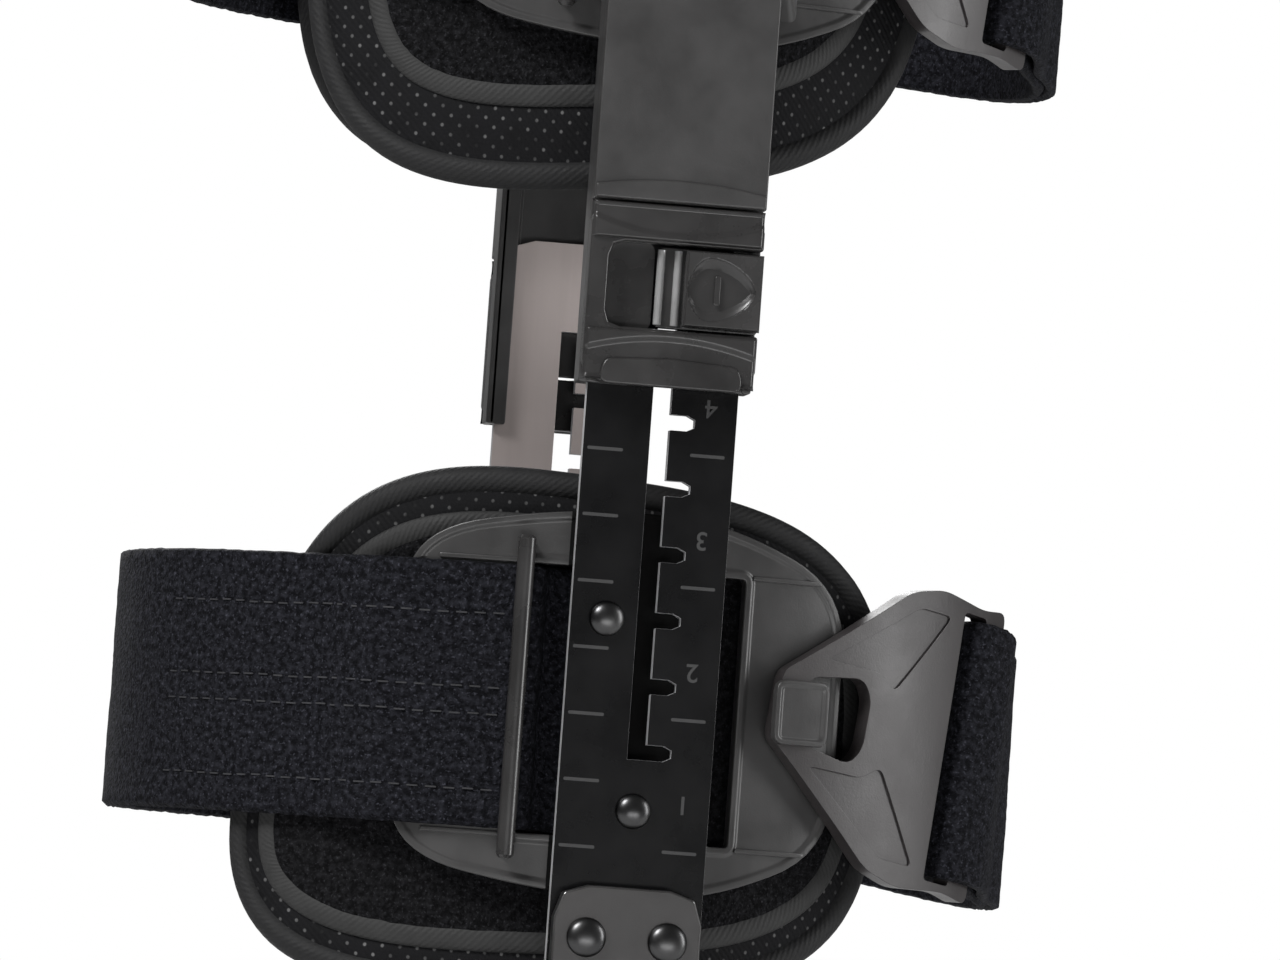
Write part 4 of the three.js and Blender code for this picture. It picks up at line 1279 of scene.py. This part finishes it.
@dataclass(frozen=True)
class Buckle:
    """One buckle, hooked at its tip and threaded with a strap at its wide end.

    Attributes:
        limb: The limb that it belongs to.
        level: The level that it is on.
    """

    limb: Limb
    level: Level

    def build(self) -> None:
        """Builds the buckle in place of its node."""
        work = self._flat()
        place = BUCKLE_FRAME[self.limb]
        for vert in work.bm.verts:
            along, across = vert.co.x, vert.co.z
            vert.co.x = BUCKLE_TIP_RUN + along - place.slope * across
            vert.co.z = place.middle_at(along) + across
        work.bend(place.ring, PLATE_CUT)
        work.move(Vector((0, 0, self.level.number)))
        work.mirror(Quarter(self.limb, Side.OUTER))
        name = f"{self.limb.label}_{self.level.label}_buckle"
        work.piece(f"{name}_frame", [BUCKLE], "buckle_moulding", [name])

    @staticmethod
    def _flat() -> Workpiece:
        """Makes the buckle flat, as a body and a skin that has the pockets, with its tip at X = 0."""
        shares = [(0, 0.22), (0.04, 0.28), (0.47, 0.93), (0.62, 1), (0.85, 0.95), (1, 0.99)]
        corners = both_ways([(x * BUCKLE_LENGTH, z * BUCKLE_HALF_WIDTH) for x, z in shares])
        slot_end = BUCKLE_LENGTH - 6.4
        holes = [
            rounded([(5.7, -6.4), (17, -8.4), (19.5, -5), (19.5, 5), (17, 8.4), (5.7, 6.4)], 2.2),
            rectangle(slot_end - 7, slot_end, -26.4, 26.4, 1),
        ]
        pocket = [(8.5, 10.4), (20.2, 10.4), (24.5, 7.5), (36, 24.6), (27.5, 24.6)]
        pockets = [rounded([(x, end * z) for x, z in pocket], 1.6) for end in (-1, 1)]
        outline = rounded(corners, 2.4)
        work = Workpiece()
        work.prism([outline, *holes], BUCKLE_LOW_OUT, BUCKLE_TOP_OUT - 0.5)
        work.soften(0.5, 3, 30)
        skin = Workpiece()
        skin.prism([outline, *holes, *pockets], BUCKLE_TOP_OUT - 1.4, BUCKLE_TOP_OUT)
        skin.soften(0.25, 2, 30)
        work.add(skin)
        return work


# Soft pieces


@dataclass(frozen=True)
class Strap:
    """One wide strap of loop pile, with its rows of stitching.

    Attributes:
        limb: The limb that it goes round.
        level: The level that it is on.
    """

    limb: Limb
    level: Level

    @property
    def name(self) -> str:
        """The name of its node."""
        return f"{self.limb.label}_{self.level.label}_strap"

    @property
    def ring(self) -> LegRing:
        """The ring that it follows."""
        return RINGS[self.limb]

    @cached_property
    def path(self) -> list[Vector]:
        """Its middle line as runs and outs, from behind the outer plate to its free end."""
        inner, front = -2 * self.ring.rear_run, -self.ring.length
        under, over = BUCKLE_LOW_OUT - 1.4, BUCKLE_TOP_OUT + 1.4
        end = front + BUCKLE_TIP_RUN + BUCKLE_LENGTH
        threaded = front + BUCKLE_TIP_RUN + BUCKLE_PASS
        doubled = OVER_PAD + STRAP_THICK + GAP
        stations = [
            (10, BEHIND_PLATE), (-20.2, BEHIND_PLATE), (-20.2, OVER_PLATE), (-50, OVER_PLATE),
            (-65, OVER_PAD), (inner + 65, OVER_PAD), (inner + 50, OVER_PLATE), (inner + 20.2, OVER_PLATE),
            (inner + 20.2, BEHIND_PLATE), (inner - 18.4, BEHIND_PLATE), (inner - 18.4, OVER_PLATE),
            (inner - 44, OVER_PLATE), (inner - 59, OVER_PAD), (end + 18, OVER_PAD), (end + 3, under),
            (threaded, under), (threaded, over), (end + 0.3, over), (end + 18, doubled),
            (front + 150, doubled),
        ]
        line = [Vector(station) for station in stations]
        fine = [line[0]]
        for start, stop in zip(line, line[1:]):
            steps = max(1, round((stop - start).length / 1.5))
            fine += [start.lerp(stop, k / steps) for k in range(1, steps + 1)]
        for _ in range(2):
            inside = [(a + b + c) / 3 for a, b, c in zip(fine, fine[1:], fine[2:])]
            fine = [fine[0], *inside, fine[-1]]
        return fine

    @cached_property
    def length(self) -> float:
        """Its length in millimetres."""
        return sum((b - a).length for a, b in zip(self.path, self.path[1:]))

    def build(self) -> None:
        """Builds the strap and its stitches."""
        half_wide, half_thick = STRAP_WIDTH / 2, STRAP_THICK / 2
        section = evenly(rectangle(-half_wide, half_wide, -half_thick, half_thick, 0.9), SKIN_STEPS)
        path = self.path
        place = BUCKLE_FRAME[self.limb]

        def wrapped(share: float, turn: float) -> Place:
            """Places one point of the strap's skin."""
            i = round(share * (len(path) - 1))
            step = (path[min(i + 1, len(path) - 1)] - path[max(i - 1, 0)]).normalized()
            across, off = section[round(turn * SKIN_STEPS) % SKIN_STEPS]
            pile = noise.noise((i * 0.9, across * 0.6, off)) * 0.14
            pile += noise.noise((i * 0.12, across * 0.07, 5)) * 0.25
            off *= 1 + pile - 0.35 * math.exp(-((path[i].x + 61) ** 2) / 1.5)
            across *= 1 + 0.012 * noise.noise((i * 0.7, math.copysign(9, across), 0))
            height, slope = place.dip_at(path[i].x)
            run = path[i].x - off * step.y - slope * across
            return (*self.ring.at(run, path[i].y + off * step.x), self.level.number + height + across)

        work = Workpiece()
        size = (self.length * MM, 2 * (STRAP_WIDTH + STRAP_THICK) * MM)
        work.surface(wrapped, len(path) - 1, SKIN_STEPS, size=size)
        ends = [edge for edge in work.bm.edges if edge.is_boundary]
        bmesh.ops.holes_fill(work.bm, edges=ends, sides=0)
        work.mirror(Quarter(self.limb, Side.OUTER))
        made = work.piece(f"{self.name}_webbing", [STRAP], "strap_loop", [self.name], angle=80)
        stitches = self._stitches()
        self.length * MM
        [f"{Quarter(self.limb, side).name}_{self.level.label}_cushion" for side in Side]

    def _out_at(self, run: float) -> float:
        """How far out the strap's middle is at one run near its start."""
        nearest = min(self.path[20:140], key=lambda point: abs(point.x - run))
        return nearest.y

    def _stitches(self) -> bpy.types.Object:
        """Builds the four rows of stitches behind the outer plate's rod."""
        work = Workpiece()
        for across in STITCH_ROWS:
            for i in range(STITCH_COUNT):
                run = STITCH_FROM_RUN - STITCH_PITCH * i
                out = self._out_at(run) + STRAP_THICK / 2 + 0.12
                middle = across + 0.3 * noise.noise((run * 0.15, across, 0))
                corners = rectangle(run - 1.05, run + 1.05, middle - 0.15, middle + 0.15, 0.14)
                work.prism([corners], out - 0.3, out + 0.16)
        work.bend(self.ring, 50)
        work.move(Vector((0, 0, self.level.number)))
        work.mirror(Quarter(self.limb, Side.OUTER))
        return work.piece(
            f"{self.name}_stitches", [THREAD], "strap_loop", [], body_of(self.name),
        )


@dataclass(frozen=True)
class PadSize:
    """One pad's flat shape, in millimetres.

    Attributes:
        low_z: The height of its edge near the knee.
        high_z: The height of its far edge.
        rear: How far it runs behind the bars' line.
        front: How far it runs ahead of it.
        taper: How much lower its front is than its middle.
        lean: How much further back its rear edge is near the knee than at its middle.
        margin: The width of knit between its binding and its loop panel.
    """

    low_z: float
    high_z: float
    rear: float
    front: float
    taper: float
    lean: float
    margin: float


PADS = {
    ("thigh_outer", Level.NEAR): PadSize(33, 133.5, 84, 62, 0.07, 0.15, 5),
    ("thigh_inner", Level.NEAR): PadSize(33, 133.5, 70, 56, 0.07, 0.05, 5),
    ("thigh_outer", Level.FAR): PadSize(190, 317, 84, 60, 0.1, 0, 12),
    ("thigh_inner", Level.FAR): PadSize(202, 317, 76, 56, 0.06, 0, 12),
    ("calf_outer", Level.NEAR): PadSize(46, 133.5, 66, 56, 0.07, 0.05, 5),
    ("calf_inner", Level.NEAR): PadSize(46, 133.5, 62, 52, 0.07, 0.05, 5),
    ("calf_outer", Level.FAR): PadSize(191, 307, 70, 56, 0.08, 0, 12),
    ("calf_inner", Level.FAR): PadSize(200, 307, 66, 52, 0.06, 0, 12),
}


@dataclass(frozen=True)
class Pad:
    """One foam pad: its knitted cover, its bound edge, and a loop panel with its own binding.

    Attributes:
        quarter: The quarter that it belongs to.
        level: The level that it is on.
        steps: The steps of its outline.
        middle_out: How far its middle layer lies outside the ring, below 0 for inside.
        binding: The width of the binding round it.
    """

    quarter: Quarter
    level: Level
    steps: ClassVar[int] = 176
    middle_out: ClassVar[float] = -9.6
    binding: ClassVar[float] = 5.4

    @property
    def size(self) -> PadSize:
        """Its flat shape."""
        return PADS[self.quarter.name, self.level]

    @cached_property
    def rim(self) -> list[Vector]:
        """Its outline as runs and heights."""
        size, power, points = self.size, 2 / 3, []
        half_long = (size.front + size.rear) / 2
        half_high = (size.high_z - size.low_z) / 2
        for i in range(RING_STEPS):
            turn = math.tau * i / RING_STEPS
            along = math.copysign(abs(math.cos(turn)) ** power, math.cos(turn))
            up = math.copysign(abs(math.sin(turn)) ** power, math.sin(turn))
            reach = half_long * (1 - size.lean * up) if along < 0 else half_long
            rise = half_high * (1 - size.taper * along)
            points.append(self.middle + Vector((along * reach, up * rise)))
        return evenly(points, self.steps)

    @property
    def middle(self) -> Vector:
        """The middle of its outline."""
        size = self.size
        return Vector(((size.front - size.rear) / 2, (size.high_z + size.low_z) / 2))

    def inward(self, i: int) -> Vector:
        """The direction from its rim straight into the pad."""
        step = self.rim[(i + 1) % self.steps] - self.rim[i - 1]
        return Vector((-step.y, step.x)).normalized()

    def thickness(self, share: float) -> float:
        """Half of its thickness, at a share of the way from its middle to its rim."""
        plump = (3.4 + 4.6 * (1 - min(share, 1) ** 6)) / 2
        beyond = max(share - 0.96, 0) / 0.04
        return plump * math.sqrt(max(1 - beyond * beyond, 0))

    def placed(self, flat: Vector, out: float) -> Place:
        """Bends a flat place round the leg."""
        seed = 3 if self.level is Level.FAR else 8
        sag = 0.45 * noise.noise((flat.x * 0.045, flat.y * 0.045, seed))
        return (*self.quarter.ring.at(flat.x, out + sag - 0.3), flat.y)

    def share_of(self, flat: Vector, i: int) -> float:
        """The share of the way from the middle to the rim that a flat place is at."""
        return (flat - self.middle).length / (self.rim[i] - self.middle).length

    def build(self) -> None:
        """Builds the pad in place of its node."""
        work = Workpiece()
        size = ((self.size.front + self.size.rear) * 2.6 * MM, 0.16)
        work.surface(self._cover, self.steps, 72, 0, size)
        work.surface(self._bound_edge, self.steps, 20, 1, (size[0], 0.02))
        work.surface(self._panel, self.steps, 30, 2, size)
        work.surface(self._panel_edge, self.steps, 16, 3, (size[0], 0.014))
        self._flatten_pattern(work)
        work.mirror(self.quarter)
        name = f"{self.quarter.name}_{self.level.label}"
        made = work.piece(
            f"{name}_cushion", [PAD, BINDING, PANEL, PANEL_BINDING], "pad_fabric", [f"{name}_pad"],
            angle=70,
        )

    @staticmethod
    def _flatten_pattern(work: Workpiece) -> None:
        """Takes the cover's and the panel's flat coordinates from their places, unstretched."""
        for face in work.bm.faces:
            if face.material_index in (0, 2):
                for loop in face.loops:
                    turn = math.atan2(loop.vert.co.x, loop.vert.co.y)
                    loop[work.uv].uv = (turn * 0.08, loop.vert.co.z * MM)

    def _cover(self, turn: float, way: float) -> Place:
        """Places the knitted cover, from the middle of its outer face to that of its inner face."""
        i = round(turn * self.steps) % self.steps
        share = math.sin(way * math.pi) ** 0.6
        flat = self.middle.lerp(self.rim[i], share)
        half = self.thickness(share)
        if way > 0.5:
            return self.placed(flat, self.middle_out - half)
        seam = (self.rim[i] - flat).length - self.binding - self.size.margin - 1.5
        groove = 0.7 * math.exp(-seam * seam / 5)
        return self.placed(flat, self.middle_out + max(half - 0.9, 0) - groove)

    def _bound_edge(self, turn: float, way: float) -> Place:
        """Places the rolled binding round the rim."""
        i = round(turn * self.steps) % self.steps
        angle = way * math.tau
        depth = self.binding / 2 - 0.3 + (self.binding / 2 + 0.2) * math.cos(angle)
        flat = self.rim[i] + self.inward(i) * depth
        pucker = 1 + 0.05 * noise.noise((i * 0.9, 3, 1))
        return self.placed(flat, self.middle_out + 2.75 * pucker * math.sin(angle))

    def _panel_rim(self, i: int) -> Vector:
        """The loop panel's outline."""
        return self.rim[i] + self.inward(i) * (self.binding + self.size.margin)

    def _panel(self, turn: float, way: float) -> Place:
        """Places the loop panel on the outer face, from its middle to its rim."""
        i = round(turn * self.steps) % self.steps
        flat = self.middle.lerp(self._panel_rim(i), way)
        half = self.thickness(self.share_of(flat, i))
        pile = 0.12 * noise.noise((flat.x * 0.9, flat.y * 0.9, 0))
        return self.placed(flat, self.middle_out + half - 0.25 + pile - 0.5 * way ** 20)

    def _panel_edge(self, turn: float, way: float) -> Place:
        """Places the narrow binding round the loop panel."""
        i = round(turn * self.steps) % self.steps
        angle = way * math.tau
        flat = self._panel_rim(i) + self.inward(i) * (0.4 + 2.4 * math.cos(angle))
        half = self.thickness(self.share_of(self._panel_rim(i), i))
        return self.placed(flat, self.middle_out + half - 0.9 + 0.9 * math.sin(angle))


# Studio


@dataclass(frozen=True)
class Softbox:
    """A large soft light.

    Attributes:
        name: Its name.
        place: Where it is, in metres.
        aim: What it points at.
        size: Its width and height in metres.
        power: Its power in watts.
    """

    name: str
    place: Place
    aim: Place
    size: Point
    power: float

    def build(self) -> None:
        """Builds the light."""
        lamp = bpy.data.lights.new(self.name, "AREA")
        lamp.shape = "RECTANGLE"
        lamp.size, lamp.size_y = self.size
        lamp.energy = self.power
        made = bpy.data.objects.new(self.name, lamp)
        made.location = self.place
        made.rotation_mode = "QUATERNION"
        made.rotation_quaternion = (Vector(self.aim) - Vector(self.place)).to_track_quat("-Z", "Y")
        bpy.context.scene.collection.objects.link(made)


@dataclass(frozen=True)
class Studio:
    """A pale floor, a white surround, soft lights and the camera.

    Attributes:
        azimuth: The camera's turn about Z, in degrees.
        elevation: Its rise, in degrees.
        roll: Its turn about its own line of sight, in degrees.
        distance: How far it stands from its aim, in metres.
        width: How wide it sees there, in metres.
        aim: What it points at.
        floor_z: The floor's height.
    """

    azimuth: float = -7.4
    elevation: float = -3.2
    roll: float = 4.12
    distance: float = 1.7
    width: float = 0.2451
    aim: Place = (-0.0032, -0.0786, 0.133)
    floor_z: float = -0.335

    def build(self) -> None:
        """Builds the whole studio."""
        self._surround()
        self._floor()
        self._camera()
        for light in (
            Softbox("key_light", (-1.15, -0.95, 1.35), (0, 0, 0.1), (0.6, 0.6), 38),
            Softbox("side_light", (1.5, -0.6, 0.5), (0, 0, 0.1), (0.4, 1.2), 16),
            Softbox("back_light", (-0.3, 1.5, 0.9), (0, 0, 0.1), (1.2, 0.8), 26),
            Softbox("low_light", (0.1, -1.5, -0.22), (0, 0, 0.1), (1.0, 0.2), 5),
        ):
            light.build()
        bpy.context.scene.view_settings.view_transform = "Standard"

    @staticmethod
    def _surround() -> None:
        """Makes everything round the brace white."""
        world = bpy.data.worlds.new("surround")
        world.use_nodes = True
        world.node_tree.nodes.clear()
        work = NodeWork(world.node_tree)
        seen = work.node("ShaderNodeLightPath").outputs["Is Camera Ray"]
        shade = work.node("ShaderNodeBackground", {
            "Color": (1, 1, 1, 1), "Strength": work.mapped(seen, (0, 1), (0.14, 1)),
        })
        work.node("ShaderNodeOutputWorld", {"Surface": shade.outputs["Background"]})
        bpy.context.scene.world = world

    def _floor(self) -> None:
        """Builds the floor."""
        work = bmesh.new()
        bmesh.ops.create_grid(work, x_segments=1, y_segments=1, size=6)
        bmesh.ops.translate(work, verts=work.verts, vec=(0, 0, self.floor_z))
        mesh = bpy.data.meshes.new("floor")
        work.to_mesh(mesh)
        work.free()
        paper = Finish("floor_paper", (0.78, 0.78, 0.78), (0.82, 0.82, 0.82), (0.8, 0.9), depth=0.05)
        mesh.materials.append(paper.material)
        floor = bpy.data.objects.new("floor", mesh)
        bpy.context.scene.collection.objects.link(floor)

    def _camera(self) -> None:
        """Sets the camera at the photo's viewing angle."""
        turn, rise, roll = (math.radians(x) for x in (self.azimuth, self.elevation, self.roll))
        back = Vector((math.sin(turn) * math.cos(rise), -math.cos(turn) * math.cos(rise), math.sin(rise)))
        level = Vector((math.cos(turn), math.sin(turn), 0))
        upright = back.cross(level)
        right = level * math.cos(roll) + upright * math.sin(roll)
        lens = bpy.data.cameras.new("photo_camera")
        lens.sensor_width = 36
        lens.lens = 36 * self.distance / self.width
        camera = bpy.data.objects.new("photo_camera", lens)
        camera.matrix_world = Matrix.Translation(Vector(self.aim) + back * self.distance) @ Matrix(
            (right, back.cross(right), back)
        ).transposed().to_4x4()
        bpy.context.scene.collection.objects.link(camera)
        bpy.context.scene.camera = camera


def main() -> None:
    """Builds every piece of the brace, then the studio."""
    logging.basicConfig(level=logging.INFO, format="%(message)s")
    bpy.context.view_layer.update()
    for quarter in QUARTERS:
        Bar(quarter).build()
        Hinge(quarter).build()
        Sleeve(quarter).build()
        for level in Level:
            CuffPlate(quarter, level).build()
            Pad(quarter, level).build()
    for side in Side:
        HingeCap(side).build()
    for limb in Limb:
        for level in Level:
            Buckle(limb, level).build()
            Strap(limb, level).build()
    Studio().build()


if __name__ == "__main__":
    main()
